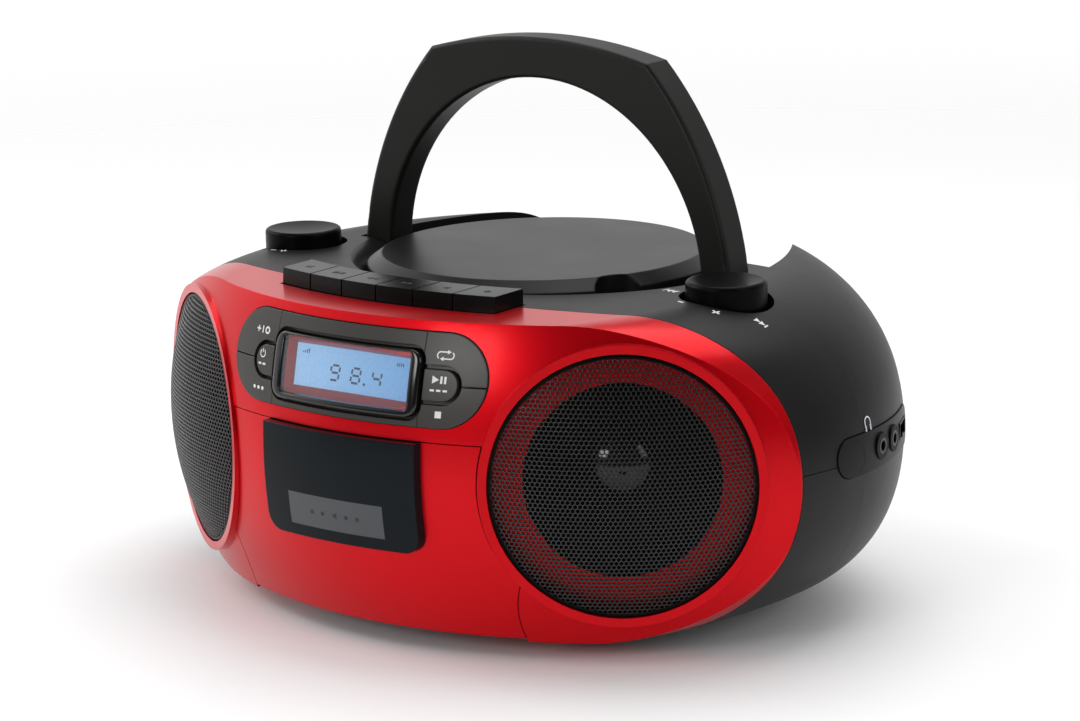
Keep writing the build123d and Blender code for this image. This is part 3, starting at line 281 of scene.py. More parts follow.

# %% [markdown]
# Pieces made here are sheets worked out with numpy: a grid of points becomes a mesh with one face for
# each cell of the grid. Each piece is then parented to an empty named for one of the frame's bodies.


# %% Meshes from arrays
def add_piece(name, points, faces, material, body, smooth=True):
    """A mesh from points in millimetres, one row each, and faces, one row of point numbers each."""
    mesh = bpy.data.meshes.new(name)
    mesh.from_pydata((np.asarray(points) * MM).tolist(), [], np.asarray(faces).tolist())
    mesh.polygons.foreach_set("use_smooth", np.full(len(mesh.polygons), smooth))
    mesh.materials.append(material)
    mesh.validate()
    mesh.update()
    piece = bpy.data.objects.new(name, mesh)
    bpy.context.scene.collection.objects.link(piece)
    if body:
        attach(piece, body)
    return piece


def grid_faces(rows, columns, ring=False):
    """Point numbers of a grid's cells; ring also joins the last column to the first."""
    index = np.arange(rows * columns).reshape(rows, columns)
    if ring:
        index = np.hstack([index, index[:, :1]])
    corners = [index[:-1, :-1], index[:-1, 1:], index[1:, 1:], index[1:, :-1]]
    return np.stack(corners, axis=-1).reshape(-1, 4)


print("a grid of 3 by 3 points has", len(grid_faces(3, 3)), "faces")

# %% [markdown]
# The table is one flat sheet. It fades to nothing far from the case, where it would meet the white
# surround in a line.

# %% Floor
FLOOR_HALF = 3000.0
FLOOR_POINTS = 13
FADE_MIDDLE = 1.05
FADE_WIDTH = 1.3

floor_material, floor_shader, floor_place = start_finish("pale_table")
reach = floor_place.node("ShaderNodeVectorMath", {"operation": "LENGTH"}, {0: floor_place}, "Value")
floor_tree = floor_material.node_tree
feed(floor_shader, Base_Color=(0.94, 0.94, 0.945, 1.0), Roughness=0.5)
feed(floor_shader, Specular_IOR_Level=0.2)
clear_away = floor_place.node("ShaderNodeBsdfTransparent")
far_share = reach.above(FADE_MIDDLE, FADE_WIDTH)
fading = floor_place.node("ShaderNodeMixShader", None, {0: far_share, 2: clear_away})
floor_tree.links.new(floor_shader.outputs[0], fading.socket.node.inputs[1])
floor_tree.links.new(fading.socket, floor_tree.nodes["Material Output"].inputs["Surface"])
floor_line = np.linspace(-FLOOR_HALF, FLOOR_HALF, FLOOR_POINTS)
floor_x, floor_y = np.meshgrid(floor_line, floor_line)
floor_points = np.stack([floor_x, floor_y, np.zeros_like(floor_x)], axis=-1)
floor_faces = grid_faces(FLOOR_POINTS, FLOOR_POINTS)
floor = add_piece("table", floor_points.reshape(-1, 3), floor_faces, floor_material, None)
print("floor", round(floor_x.max() * 2 * MM), "m across")

# %% [markdown]
# The red front is moulded plastic under a satin metallic lacquer. Fine flakes make the colour vary a
# little from grain to grain, and a thin clear coat gives the pale sheen where light grazes the top.


# %% Red lacquer
def lacquer(name, base, deep, roughness, coat):
    """Paint with flakes: noise finer than a millimetre moves the colour from base to deep."""
    material, shader, place = start_finish(name)
    flake = place.noise(0.35, 1.0)
    cloud = place.noise(40.0, 1.0)
    share = flake * 0.5 + cloud * 0.5
    feed(shader, Base_Color=share.mix(deep, base), Roughness=roughness + flake * 0.06)
    feed(shader, Metallic=0.7, Specular_IOR_Level=0.15)
    feed(shader, Coat_Weight=coat, Coat_Roughness=0.16, Coat_IOR=1.22)
    feed(shader, Normal=relief(place, flake, 0.004, 0.5))
    return material


red_lacquer = lacquer("red_lacquer", colour(218, 2, 22), colour(188, 0, 10), 0.32, 0.55)
# painted light: the display frame's lacquer is a paler, pinker copy of the red, so the frame looks lit
red_frame = lacquer("red_frame_painted_light", colour(222, 44, 54), colour(190, 22, 32), 0.42, 0.3)
print("red finishes:", red_lacquer.name, red_frame.name)

# %% [markdown]
# The black case, handle, lid and keys are moulded with a fine spark-eroded grain, which scatters light
# into a soft grey sheen. They differ only in shade, grain and gloss, so one function makes them all.


# %% Moulded plastics
def moulded(name, base, roughness, grain, depth, edge=0.4, coat=0.0, shine=0.22):
    """Plastic with a grain of that width and depth in millimetres, and slightly uneven gloss."""
    material, shader, place = start_finish(name)
    fine = place.noise(grain, 2.0)
    cloud = place.noise(30.0, 2.0)
    lighter = tuple(channel * 1.25 for channel in base[:3]) + (1.0,)
    feed(shader, Base_Color=(cloud * 0.6 + fine * 0.4).mix(base, lighter))
    feed(shader, Roughness=roughness - 0.04 + cloud * 0.08, Coat_Weight=coat, Coat_Roughness=0.15)
    feed(shader, Specular_IOR_Level=shine, Normal=relief(place, fine, depth, edge))
    return material


finishes = {
    "black_case": moulded("case_plastic", colour(12, 12, 12), 0.42, 0.5, 0.01, shine=0.26),
    "black_trim": moulded("trim_plastic", colour(10, 10, 11), 0.4, 0.6, 0.008, shine=0.15),
    "black_handle": moulded("handle_plastic", colour(17, 17, 15), 0.44, 0.6, 0.012, 1.0, shine=0.26),
    "black_lid": moulded("lid_plastic", colour(13, 13, 12), 0.36, 0.5, 0.008, 1.2, shine=0.27),
    "black_inner": moulded("inner_plastic", colour(16, 16, 16), 0.55, 0.8, 0.01),
    "black_key": moulded("key_plastic", colour(8, 8, 7), 0.24, 0.4, 0.003, 0.3, shine=0.15),
    "black_knob": moulded("knob_plastic", colour(6, 6, 6), 0.34, 0.5, 0.006, 0.8, shine=0.06),
    "grey_panel": moulded("panel_plastic", colour(44, 42, 38), 0.36, 0.4, 0.004, 0.5, shine=0.45),
    "white_plastic": moulded("spindle_plastic", colour(222, 222, 216), 0.45, 0.8, 0.006),
    "rubber": moulded("rubber", colour(26, 26, 26), 0.8, 0.7, 0.02),
    "red_paint": red_lacquer,
    "red_frame": red_frame,
}
print("moulded finishes:", len(finishes))

# %% [markdown]
# Metals: rolled steel with faint lines along the sheet, painted steel, turned brass and bright chrome.
# The lines are noise squeezed in one direction, which a Mapping node does.


# %% Metals
def metal(name, base, roughness, along, depth):
    """Bare metal whose fine lines run along one axis: noise stretched twenty times along it."""
    material, shader, place = start_finish(name)
    squeeze = [1.0, 1.0, 1.0]
    squeeze["XYZ".index(along)] = 0.05
    lines = place.node("ShaderNodeMapping", None, {"Vector": place, "Scale": squeeze}).noise(0.6, 3.0)
    darker = tuple(channel * 0.75 for channel in base[:3]) + (1.0,)
    feed(shader, Base_Color=lines.mix(darker, base), Metallic=1.0, Roughness=roughness - 0.06 + lines * 0.12)
    feed(shader, Normal=relief(place, lines, depth, 0.2))
    return material


finishes["bright_steel"] = metal("bright_steel", colour(200, 200, 198), 0.28, "X", 0.004)
finishes["core_steel"] = metal("core_steel", colour(150, 150, 150), 0.4, "Z", 0.01)
finishes["wheel_brass"] = metal("turned_brass", colour(205, 170, 95), 0.3, "Y", 0.004)
finishes["aerial_chrome"] = metal("aerial_chrome", colour(225, 225, 228), 0.12, "X", 0.001)
finishes["frame_steel"] = moulded("painted_steel", colour(58, 58, 60), 0.45, 0.8, 0.01)
finishes["grille_steel"] = moulded("grille_paint", colour(14, 14, 14), 0.28, 0.3, 0.003, 0.1, shine=0.5)
print("metals:", [key for key in finishes if "steel" in key or "brass" in key or "chrome" in key])

# %% [markdown]
# Circuit boards are green laminate with paler tracks. Slanting waves, bent and cut into bands, stand for
# the tracks, because the boards are hidden and only need the right colours when the case is open.

# %% Circuit board
board, board_shader, board_place = start_finish("circuit_board")
tracks = board_place.node("ShaderNodeTexWave", {"bands_direction": "DIAGONAL"}, {
    "Vector": board_place, "Scale": 90.0, "Distortion": 9.0, "Detail": 1.0,
})
on_track = tracks.above(0.62, 0.1)
feed(board_shader, Base_Color=on_track.mix(colour(22, 74, 38), colour(64, 128, 66)))
feed(board_shader, Roughness=0.5 - on_track * 0.15)
feed(board_shader, Normal=relief(board_place, on_track, 0.05, 0.2))
finishes["board"] = board
print("board finish made")

# %% [markdown]
# The display is a lit liquid crystal panel, pale blue. Its colour is painted paler towards the left: a
# painted reflection of light falling across its glass. A little of its colour is emitted. The smoked
# window is dark polished plastic, tinted slate.

# %% Display glass and smoked window
DISPLAY_HALF = 28.0

lcd, lcd_shader, lcd_place = start_finish("display_glass")
across = lcd_place.axis("X")
# painted reflection: the share of the paler colour grows towards the display's left edge
painted_reflection_share = 1.0 - (across + DISPLAY_HALF) / (2 * DISPLAY_HALF)
lcd_colour = painted_reflection_share.mix(colour(106, 160, 208), colour(140, 186, 224))
feed(lcd_shader, Base_Color=lcd_colour, Roughness=0.25 + lcd_place.noise(1.0) * 0.05)
feed(lcd_shader, Emission_Color=lcd_colour, Emission_Strength=0.43)
finishes["lcd_glass"] = lcd

smoke, smoke_shader, smoke_place = start_finish("smoked_window")
swirl = smoke_place.noise(18.0, 2.0)
feed(smoke_shader, Base_Color=swirl.mix(colour(13, 18, 21), colour(18, 24, 28)), Roughness=0.16 + swirl * 0.06)
feed(smoke_shader, Specular_IOR_Level=0.1)
feed(smoke_shader, Normal=relief(smoke_place, swirl, 0.002, 0.8))
finishes["smoked_window"] = smoke
print("display and window finishes made")

# %% [markdown]
# The speaker cones are black paper. The dust cap in the middle of each is lacquered, so it catches a
# glint of the lamps behind the grille. One finish does both: its coat is on only near a speaker's axis,
# the line through the middle of the speaker that is turned outward from the front.

# %% Speaker cones
SPEAKER_TURN = math.radians(35.2)
SPEAKER_OUT = 187.4
SPEAKER_Z = 73.5
SPEAKER_MIDDLE = np.array([
    SPEAKER_OUT * math.sin(SPEAKER_TURN), BOW_Y - SPEAKER_OUT * math.cos(SPEAKER_TURN), SPEAKER_Z
])
CAP_RADIUS = 13.8

cone, cone_shader, cone_place = start_finish("cone_paper")
beside = cone_place.math("ABSOLUTE", cone_place.axis("X")) - SPEAKER_MIDDLE[0]
behind = cone_place.axis("Y") - SPEAKER_MIDDLE[1]
off_sideways = beside * math.cos(SPEAKER_TURN) + behind * math.sin(SPEAKER_TURN)
off_upward = cone_place.axis("Z") - SPEAKER_MIDDLE[2]
from_axis = (off_sideways * off_sideways + off_upward * off_upward) ** 0.5
on_cap = 1.0 - from_axis.above(CAP_RADIUS, 0.5)
fibre = cone_place.noise(1.2)
feed(cone_shader, Base_Color=fibre.mix(colour(6, 6, 6), colour(11, 11, 11)), Roughness=0.75 - on_cap * 0.3)
feed(cone_shader, Specular_IOR_Level=0.1, Coat_Weight=on_cap, Coat_Roughness=0.05, Coat_IOR=1.65)
feed(cone_shader, Normal=relief(cone_place, fibre, 0.02, 0.4))
finishes["cone_paper"] = cone
print("cones coated within", CAP_RADIUS, "mm of the axis")

# %% [markdown]
# The display's cover is clear plastic. Mixing a see-through shader with a glossy one by the angle of
# view gives thin clear plastic without bending the picture behind it.

# %% Clear cover
cover, cover_shader, cover_place = start_finish("clear_cover")
feed(cover_shader, Base_Color=colour(235, 238, 242), Roughness=0.05)
see_through = cover_place.node("ShaderNodeBsdfTransparent")
glance = cover_place.node("ShaderNodeFresnel", None, {"IOR": 1.45})
cover_mix = cover_place.node("ShaderNodeMixShader", None, {0: glance * 0.9 + 0.08, 1: see_through})
cover.node_tree.links.new(cover_shader.outputs[0], cover_mix.socket.node.inputs[2])
cover.node_tree.links.new(cover_mix.socket, cover.node_tree.nodes["Material Output"].inputs["Surface"])
finishes["clear_lens"] = cover

for part in frame["record"]["subparts"]:
    solid = nodes[part["node"]]
    solid.data.materials.clear()
    solid.data.materials.append(finishes[part["material_slot"]])

# %% [markdown]
# Each loudspeaker is covered by a black steel dome punched with small holes in a honeycomb pattern.
# Real holes are needed, because the red baffle and the black cone show through them. One cell of the
# honeycomb is a hexagon with a hole, drawn with a dozen triangles and repeated over the disc.

# %% Punched grilles
GRILLE_RADIUS = 52.3
GRILLE_RISE = 11.5
HOLE_PITCH = 1.93
HOLE_RADIUS = 0.87
SHEET = 0.8
CELL_MARGIN = 1.0


def dome_height(distance):
    """The dome is a cap of a ball: its height falls from the rise at the middle to nothing at the rim."""
    ball = (GRILLE_RADIUS**2 + GRILLE_RISE**2) / (2 * GRILLE_RISE)
    return GRILLE_RISE - ball + np.sqrt(ball**2 - distance**2)


def on_speaker(local, side):
    """Points about the speaker's axis, across, up and out, placed on the right or left speaker."""
    across_dir = np.array([math.cos(SPEAKER_TURN), math.sin(SPEAKER_TURN), 0.0])
    out_dir = np.array([math.sin(SPEAKER_TURN), -math.cos(SPEAKER_TURN), 0.0])
    placed = SPEAKER_MIDDLE + local @ np.array([across_dir, [0.0, 0.0, 1.0], out_dir])
    return placed * [side, 1.0, 1.0]


def honeycomb():
    """Cell middles in rows, every other row moved by half a pitch. Each cell joins its six outer corners
    to the six corners of its hole, which lie on the same rays, with twelve triangles. Corners that cells
    share become one."""
    row_pitch = HOLE_PITCH * math.sqrt(3) / 2
    rows = int(GRILLE_RADIUS / row_pitch) + 1
    row, place = np.meshgrid(np.arange(-rows, rows + 1), np.arange(-rows, rows + 1), indexing="ij")
    middles = np.stack([(place + 0.5 * (row % 2)) * HOLE_PITCH, row * row_pitch], axis=-1).reshape(-1, 2)
    middles = middles[np.hypot(middles[:, 0], middles[:, 1]) < GRILLE_RADIUS - CELL_MARGIN]
    k = np.arange(6)
    angle = k * math.pi / 3 + math.pi / 6
    ray = np.stack([np.cos(angle), np.sin(angle)], axis=-1)
    corner = ray * HOLE_PITCH / math.sqrt(3)
    hole = ray * HOLE_RADIUS
    flat = (middles[:, None, :] + np.concatenate([corner, hole])[None]).reshape(-1, 2)
    after = (k + 1) % 6
    one_cell = np.concatenate([
        np.stack([6 + k, k, 6 + after], axis=-1),
        np.stack([k, after, 6 + after], axis=-1),
    ])
    faces = (one_cell[None] + 12 * np.arange(len(middles))[:, None, None]).reshape(-1, 3)
    shared, number = np.unique(np.round(flat, 3), axis=0, return_inverse=True)
    return shared, number.reshape(-1)[faces]


flat_points, cell_faces = honeycomb()
for side, side_name in ((1, "right"), (-1, "left")):
    height = dome_height(np.hypot(flat_points[:, 0], flat_points[:, 1]))
    dome = on_speaker(np.column_stack([flat_points, height]), side)
    winding = cell_faces if side > 0 else cell_faces[:, ::-1]
    grille = add_piece("grille_" + side_name, dome, winding, finishes["grille_steel"], "case")
    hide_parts("speaker_grilles")
    thick = grille.modifiers.new("sheet", "SOLIDIFY")
    thick.thickness = SHEET * MM
    thick.offset = -1.0
print("grille holes:", len(cell_faces) // 12)

# %% [markdown]
# The dome's edge is a plain rolled rim without holes. A rim is a short profile carried round a circle.
# The rim takes the darkest black, darker than the grille: painted shade for the shaded gap round it.

# %% Grille rims
RIM_INNER = GRILLE_RADIUS - 1.3
RIM_ROUND = 0.4
RIM_LIFT = 0.1
RIM_FOOT = -9.5

rim_angle = np.linspace(0.0, 2 * math.pi, 160, endpoint=False)
rim_bend = np.linspace(0.0, math.pi, 9)
rim_wall = GRILLE_RADIUS - RIM_ROUND
rim_radius = np.concatenate([[RIM_INNER], rim_wall + RIM_ROUND * np.sin(rim_bend), [rim_wall]])
rim_start = dome_height(RIM_INNER) - RIM_LIFT
rim_height = np.concatenate([[rim_start], RIM_LIFT + RIM_ROUND * np.cos(rim_bend), [RIM_FOOT]])
rim_local = np.stack([
    rim_radius[:, None] * np.cos(rim_angle)[None, :],
    rim_radius[:, None] * np.sin(rim_angle)[None, :],
    np.repeat(rim_height[:, None], len(rim_angle), axis=1),
], axis=-1)
rim_faces = grid_faces(len(rim_radius), len(rim_angle), ring=True)
for side, side_name in ((1, "right"), (-1, "left")):
    ring = on_speaker(rim_local.reshape(-1, 3), side)
    winding = rim_faces[:, ::-1] if side > 0 else rim_faces
    # painted shade: the knobs' near-black stands for the shaded gap between grille and surround
    add_piece("grille_rim_" + side_name, ring, winding, finishes["black_knob"], "case")
print("rims of", len(rim_angle), "steps")

# %% [markdown]
# The display sits behind a glossy black bezel with a clear pane in it. The bezel is a rounded
# rectangle whose border has a raised, rounded section: two outlines, one inside the other, joined by
# a profile that rises from the panel, runs flat, and falls to the pane.

# %% Display bezel and pane
BEZEL_Z = 112.7
BEZEL_SIZE = (73.6, 26.1)
OPENING_SIZE = (64.4, 22.8)
OPENING_SHIFT = (0.2, 0.85)
PANE_RISE = 0.9
PANE_X = (-32.4, 32.8)
PANE_Z = (-10.9, 12.5)


def rounded_rectangle(length, height, radius, count):
    """Points round a rectangle with round corners, evenly spread by angle in each corner."""
    quarter = np.linspace(0.0, math.pi / 2, count)
    corner = np.array([[1, 1], [-1, 1], [-1, -1], [1, -1]])
    middle = corner * [length / 2 - radius, height / 2 - radius]
    angle = quarter[None, :] + np.array([0.0, 0.5, 1.0, 1.5])[:, None] * math.pi
    bend = np.stack([np.cos(angle), np.sin(angle)], axis=-1) * radius
    return (middle[:, None, :] + bend).reshape(-1, 2)


def dense(outline, step):
    """The closed outline with points added so that no side is longer than step."""
    closed = np.vstack([outline, outline[:1]])
    length = np.concatenate([[0.0], np.cumsum(np.hypot(*np.diff(closed, axis=0).T))])
    along = np.linspace(0.0, length[-1], int(length[-1] / step), endpoint=False)
    return np.stack([np.interp(along, length, closed[:, axis]) for axis in (0, 1)], axis=-1)


outer = dense(rounded_rectangle(*BEZEL_SIZE, 5.0, 9), 0.8)
inner_shape = rounded_rectangle(*OPENING_SIZE, 1.6, 7) + OPENING_SHIFT
outer_angle = np.arctan2(outer[:, 1] / BEZEL_SIZE[1], outer[:, 0] / BEZEL_SIZE[0])
inner_closed = dense(inner_shape, 0.3)
inner_angle = np.arctan2(inner_closed[:, 1] / OPENING_SIZE[1], inner_closed[:, 0] / OPENING_SIZE[0])
order = np.argsort(inner_angle)
inner = np.stack([
    np.interp(outer_angle, inner_angle[order], inner_closed[order, axis], period=2 * math.pi) for axis in (0, 1)
], axis=-1)
profile_in = np.array([0.0, 0.0, 0.04, 0.13, 0.3, 0.6, 0.85, 0.95, 1.0, 1.0])
profile_up = np.array([-1.6, 0.7, 1.45, 1.85, 2.0, 2.0, 1.95, 1.7, 1.2, -0.6])
bezel_flat = outer[None] * (1 - profile_in[:, None, None]) + inner[None] * profile_in[:, None, None]
bezel_rise = np.repeat(profile_up[:, None], len(outer), axis=1)
bezel_points = on_front(bezel_flat[..., 0], bezel_flat[..., 1] + BEZEL_Z, bezel_rise)
bezel_gloss = moulded("bezel_gloss", colour(14, 14, 14), 0.14, 0.6, 0.001, 0.2, 0.6)
bezel_faces = grid_faces(*bezel_flat.shape[:2], ring=True)
bezel = add_piece("display_bezel", bezel_points.reshape(-1, 3), bezel_faces, bezel_gloss, "case")
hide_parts("display_lens")

pane_x, pane_z = np.meshgrid(np.linspace(*PANE_X, 25), np.linspace(*PANE_Z, 9))
pane_points = on_front(pane_x, pane_z + BEZEL_Z, PANE_RISE)
add_piece("display_pane", pane_points.reshape(-1, 3), grid_faces(*pane_x.shape), cover, "case")
print("bezel of", len(outer), "steps round")

# %% [markdown]
# All marks, from the display's digits to the symbols on the keys, are ribbons: a line with a width
# at each of its points. A bar is a straight ribbon, a triangle one whose width shrinks to nothing,
# and a disc one whose width follows a circle.


# %% Ribbons
def ribbon(line, width):
    """Both edges of a line with a width at each point: the line plus and minus half the width along its
    sideways direction."""
    line = np.asarray(line, float)
    width = np.broadcast_to(np.asarray(width, float), (len(line),))
    ahead = np.gradient(line, axis=0)
    ahead /= np.linalg.norm(ahead, axis=1, keepdims=True)
    sideways = np.stack([-ahead[:, 1], ahead[:, 0]], axis=-1)
    return np.stack([line - sideways * width[:, None] / 2, line + sideways * width[:, None] / 2])


def bar(start, end, width):
    """A straight ribbon between two points."""
    share_along = np.linspace(0.0, 1.0, 5)[:, None]
    return ribbon(np.array(start) * (1 - share_along) + np.array(end) * share_along, width)


def wedge(x, z, size, way):
    """A triangle pointing right for way 1 and left for way -1. Its width shrinks evenly, and the tip is
    cut a hair short of nothing, so that no face is without area."""
    along = np.linspace(-0.5, 0.49, 6)
    return ribbon(np.stack([x + way * along * size, np.full(6, z)], axis=-1), (0.5 - along) * size * 1.1)


def disc(x, z, radius):
    """A straight ribbon whose width follows a circle."""
    along = np.cos(np.linspace(math.pi, 0.0, 13)) * 0.999
    return ribbon(np.stack([x + along * radius, np.full(13, z)], axis=-1), 2 * radius * np.sqrt(1 - along**2))


def arc(x, z, radius, start, end, width):
    """A bent ribbon: its edges are parts of circles, half the width outside and inside the radius."""
    angle = np.radians(np.linspace(start, end, 25))
    ray = np.stack([np.cos(angle), np.sin(angle)], axis=-1)
    return np.stack([[x, z] + ray * (radius + width / 2), [x, z] + ray * (radius - width / 2)])


def add_marks(name, ribbons, place, material, body):
    """Puts ribbons, drawn flat, on a surface: place turns flat points into points of the frame. A ribbon
    that ends where it starts becomes a closed ring."""
    points = []
    faces = []
    count = 0
    for strip in ribbons:
        ring = np.allclose(strip[:, 0], strip[:, -1])
        if ring:
            strip = strip[:, :-1]
        columns = strip.shape[1]
        points.append(place(strip.reshape(-1, 2)))
        faces.append(grid_faces(2, columns, ring) + count)
        count += 2 * columns
    return add_piece(name, np.concatenate(points), np.concatenate(faces), material, body, smooth=False)


def ink(name, base, roughness):
    """Printing ink: thin, slightly uneven cover."""
    material, shader, place = start_finish(name)
    patch = place.noise(0.6, 2.0)
    thinner = tuple(channel * 0.82 for channel in base[:3]) + (1.0,)
    feed(shader, Base_Color=patch.mix(thinner, base), Roughness=roughness + patch * 0.1)
    return material


white_ink = ink("white_ink", colour(228, 228, 228), 0.5)
dark_ink = ink("dark_ink", colour(14, 14, 15), 0.6)
display_ink = ink("display_ink", colour(38, 56, 96), 0.4)
label_ink = ink("label_ink", colour(18, 20, 22), 0.4)
print("ribbons and inks ready")

# %% [markdown]
# The display shows a number in slanted seven-bar digits. The panel is tilted with the front, so its
# plane is set by a point and an upward direction. The digits float a hair above the glass.

# %% Display digits
TILT = math.asin((BEZEL_Z - BULGE_Z) / FRONT_BULGE)
DISPLAY_DEPTH = 5.95
DIGIT_HEIGHT = 5.9
DIGIT_WIDTH = 4.3
DIGIT_BAR = 0.9
DIGIT_GAP = 0.55
DIGIT_Z = -0.2
SLANT = 0.12
BARS = {"9": "abcdfg", "8": "abcdefg", "4": "bcfg"}


def on_display(flat):
    """Flat points placed on the tilted display, just in front of its glass."""
    normal = np.array([0.0, -math.cos(TILT), math.sin(TILT)])
    upward = np.array([0.0, math.sin(TILT), math.cos(TILT)])
    origin = on_front(np.zeros(1), np.array([BEZEL_Z]), 0.0)[0] - normal * DISPLAY_DEPTH
    return origin + flat[:, :1] * [1.0, 0.0, 0.0] + flat[:, 1:2] * upward


def digit(x, z, number):
    """Seven bars: a at the top, then clockwise, with g across the middle; each leans by the slant."""
    w, h, gap = DIGIT_WIDTH / 2, DIGIT_HEIGHT / 2, DIGIT_GAP
    ends = {
        "a": ((-w + gap, h), (w - gap, h)),
        "b": ((w, h - gap), (w, gap)),
        "c": ((w, -gap), (w, -h + gap)),
        "d": ((-w + gap, -h), (w - gap, -h)),
        "e": ((-w, -gap), (-w, -h + gap)),
        "f": ((-w, h - gap), (-w, gap)),
        "g": ((-w + gap, 0.0), (w - gap, 0.0)),
    }
    drawn = []
    for letter in BARS[number]:
        (x0, z0), (x1, z1) = ends[letter]
        drawn.append(bar((x + x0 + SLANT * z0, z + z0), (x + x1 + SLANT * z1, z + z1), DIGIT_BAR))
    return drawn


number_ribbons = digit(-8.3, DIGIT_Z, "9") + digit(2.4, DIGIT_Z, "8") + digit(13.0, DIGIT_Z, "4")
number_ribbons += [disc(7.0, -3.1, 0.6)]
steps = np.arange(4)
number_ribbons += [bar((-25.4 + step, 6.0), (-25.4 + step, 6.7 + 0.4 * step), 0.5) for step in steps]
number_ribbons += [bar((22.6 + step, 6.0), (22.8 + step, 7.4), 0.5) for step in steps]
add_marks("display_digits", number_ribbons, on_display, display_ink, "case")
print("display marks:", len(number_ribbons))

# %% [markdown]
# White symbols are printed on the control panel's buttons: a power sign, play and pause, a stop square, a
# repeat loop, a plus with a ten, and dots or dashes in place of words. They follow the bowed face, and
# each rides on its own button.

# %% Button symbols
BUTTON_RISE = 0.66


def on_button(flat):
    """Flat points, across and up, laid on the buttons' bowed face."""
    return on_front(flat[:, 0], flat[:, 1], BUTTON_RISE)


def power_sign(x, z, size):
    """A ring open at the top, with a bar in the opening."""
    return [arc(x, z, size, 125.0, 415.0, size * 0.32), bar((x, z + size * 0.2), (x, z + size * 1.25), size * 0.32)]


def plus_sign(x, z, size):
    """Two crossed bars."""
    return [bar((x - size, z), (x + size, z), size * 0.5), bar((x, z - size), (x, z + size), size * 0.5)]


def loop_sign(x, z, size):
    """A flat ring of two bars and two half rounds, with an arrow head on each bar."""
    reach = size * 1.6
    thick = size * 0.4
    ends = [arc(x + reach, z, size, -90.0, 60.0, thick), arc(x - reach, z, size, 90.0, 240.0, thick)]
    upper = bar((x - reach, z + size), (x + reach * 0.4, z + size), thick)
    lower = bar((x - reach * 0.4, z - size), (x + reach, z - size), thick)
    heads = [wedge(x + reach * 0.7, z + size, size * 1.2, 1), wedge(x - reach * 0.7, z - size, size * 1.2, -1)]
    return ends + [upper, lower] + heads


def dashes(x, z, count, length):
    """A row of short bars, one and a half lengths apart, about the middle x."""
    starts = x + (np.arange(count) - (count - 1) / 2) * 1.5 * length - length / 2
    return [bar((start, z), (start + length, z), 0.8) for start in starts]


symbols = {
    "button_power": power_sign(-45.2, 115.0, 1.5) + dashes(-45.2, 110.9, 2, 1.8),
    "button_play": [
        wedge(43.4, 114.9, 2.8, 1), bar((45.8, 113.5), (45.8, 116.3), 0.9), bar((47.4, 113.5), (47.4, 116.3), 0.9)
    ] + dashes(45.0, 110.8, 3, 1.8),
    "button_preset": plus_sign(-50.0, 124.0, 1.2) + [
        bar((-47.2, 122.6), (-47.2, 125.4), 0.7), arc(-44.2, 124.0, 1.15, 0.0, 360.0, 0.7)
    ],
    "button_program": [disc(-48.8, 101.3, 0.75), disc(-46.2, 101.3, 0.75), disc(-43.6, 101.3, 0.75)],
    "button_repeat": loop_sign(46.2, 124.2, 1.3),
    "button_halt": [bar((44.4, 101.6), (47.0, 101.6), 2.6)],
}
for button, ribbons in symbols.items():
    add_marks("sign_" + button, ribbons, on_button, white_ink, button)
print("button signs:", len(symbols))

# %% [markdown]
# The piano keys carry the usual tape symbols, pressed into the plastic, so they look darker than the
# key. They lie flat on each key's top and are parented to an empty named for that key.

# %% Key symbols
KEY_TOP = 143.06
KEY_PITCH = 18.6
KEY_ROW = -4.8
KEY_MIDDLE_Y = -81.6
KEY_BOW = 0.0022
KEYS = ["pause", "stop", "rewind", "forward", "play", "record"]


def key_marks(name, x, y):
    """The symbol of one key about the point x, y of its top."""
    if name == "pause":
        return [bar((x - 1.0, y - 1.6), (x - 1.0, y + 1.6), 0.9), bar((x + 1.0, y - 1.6), (x + 1.0, y + 1.6), 0.9)]
    if name == "stop":
        square = bar((x - 3.2, y), (x - 0.4, y), 2.8)
        return [square, wedge(x + 2.0, y + 0.5, 2.4, 1), bar((x + 0.8, y - 1.3), (x + 3.2, y - 1.3), 0.5)]
    if name == "rewind":
        return [wedge(x - 1.5, y, 2.8, -1), wedge(x + 1.5, y, 2.8, -1)]
    if name == "forward":
        return [wedge(x - 1.5, y, 2.8, 1), wedge(x + 1.5, y, 2.8, 1)]
    if name == "play":
        return [wedge(x, y, 3.0, -1)]
    return [disc(x, y, 1.5)]


def on_key(flat):
    """Flat points laid on the keys' level tops."""
    return np.column_stack([flat, np.full(len(flat), KEY_TOP)])


for index, key in enumerate(KEYS):
    key_x = KEY_ROW + (index - (len(KEYS) - 1) / 2) * KEY_PITCH
    key_y = KEY_MIDDLE_Y + KEY_BOW * key_x**2
    add_marks("sign_key_" + key, key_marks(key, key_x, key_y), on_key, dark_ink, "key_" + key)
print("key signs:", len(KEYS))

# %% [markdown]
# The smoked window has a lighter clear strip, with a row of dots and an arrow that show how the tape
# lies. It is a thin label that follows the window's bow.

# %% Window label
WINDOW_RISE = 4.2
LABEL_LIFT = 0.05
ARROW_LIFT = 0.12
LABEL_X = (-24.5, 23.5)
LABEL_Z = (50.0, 63.6)
ARROW_Z = 56.6

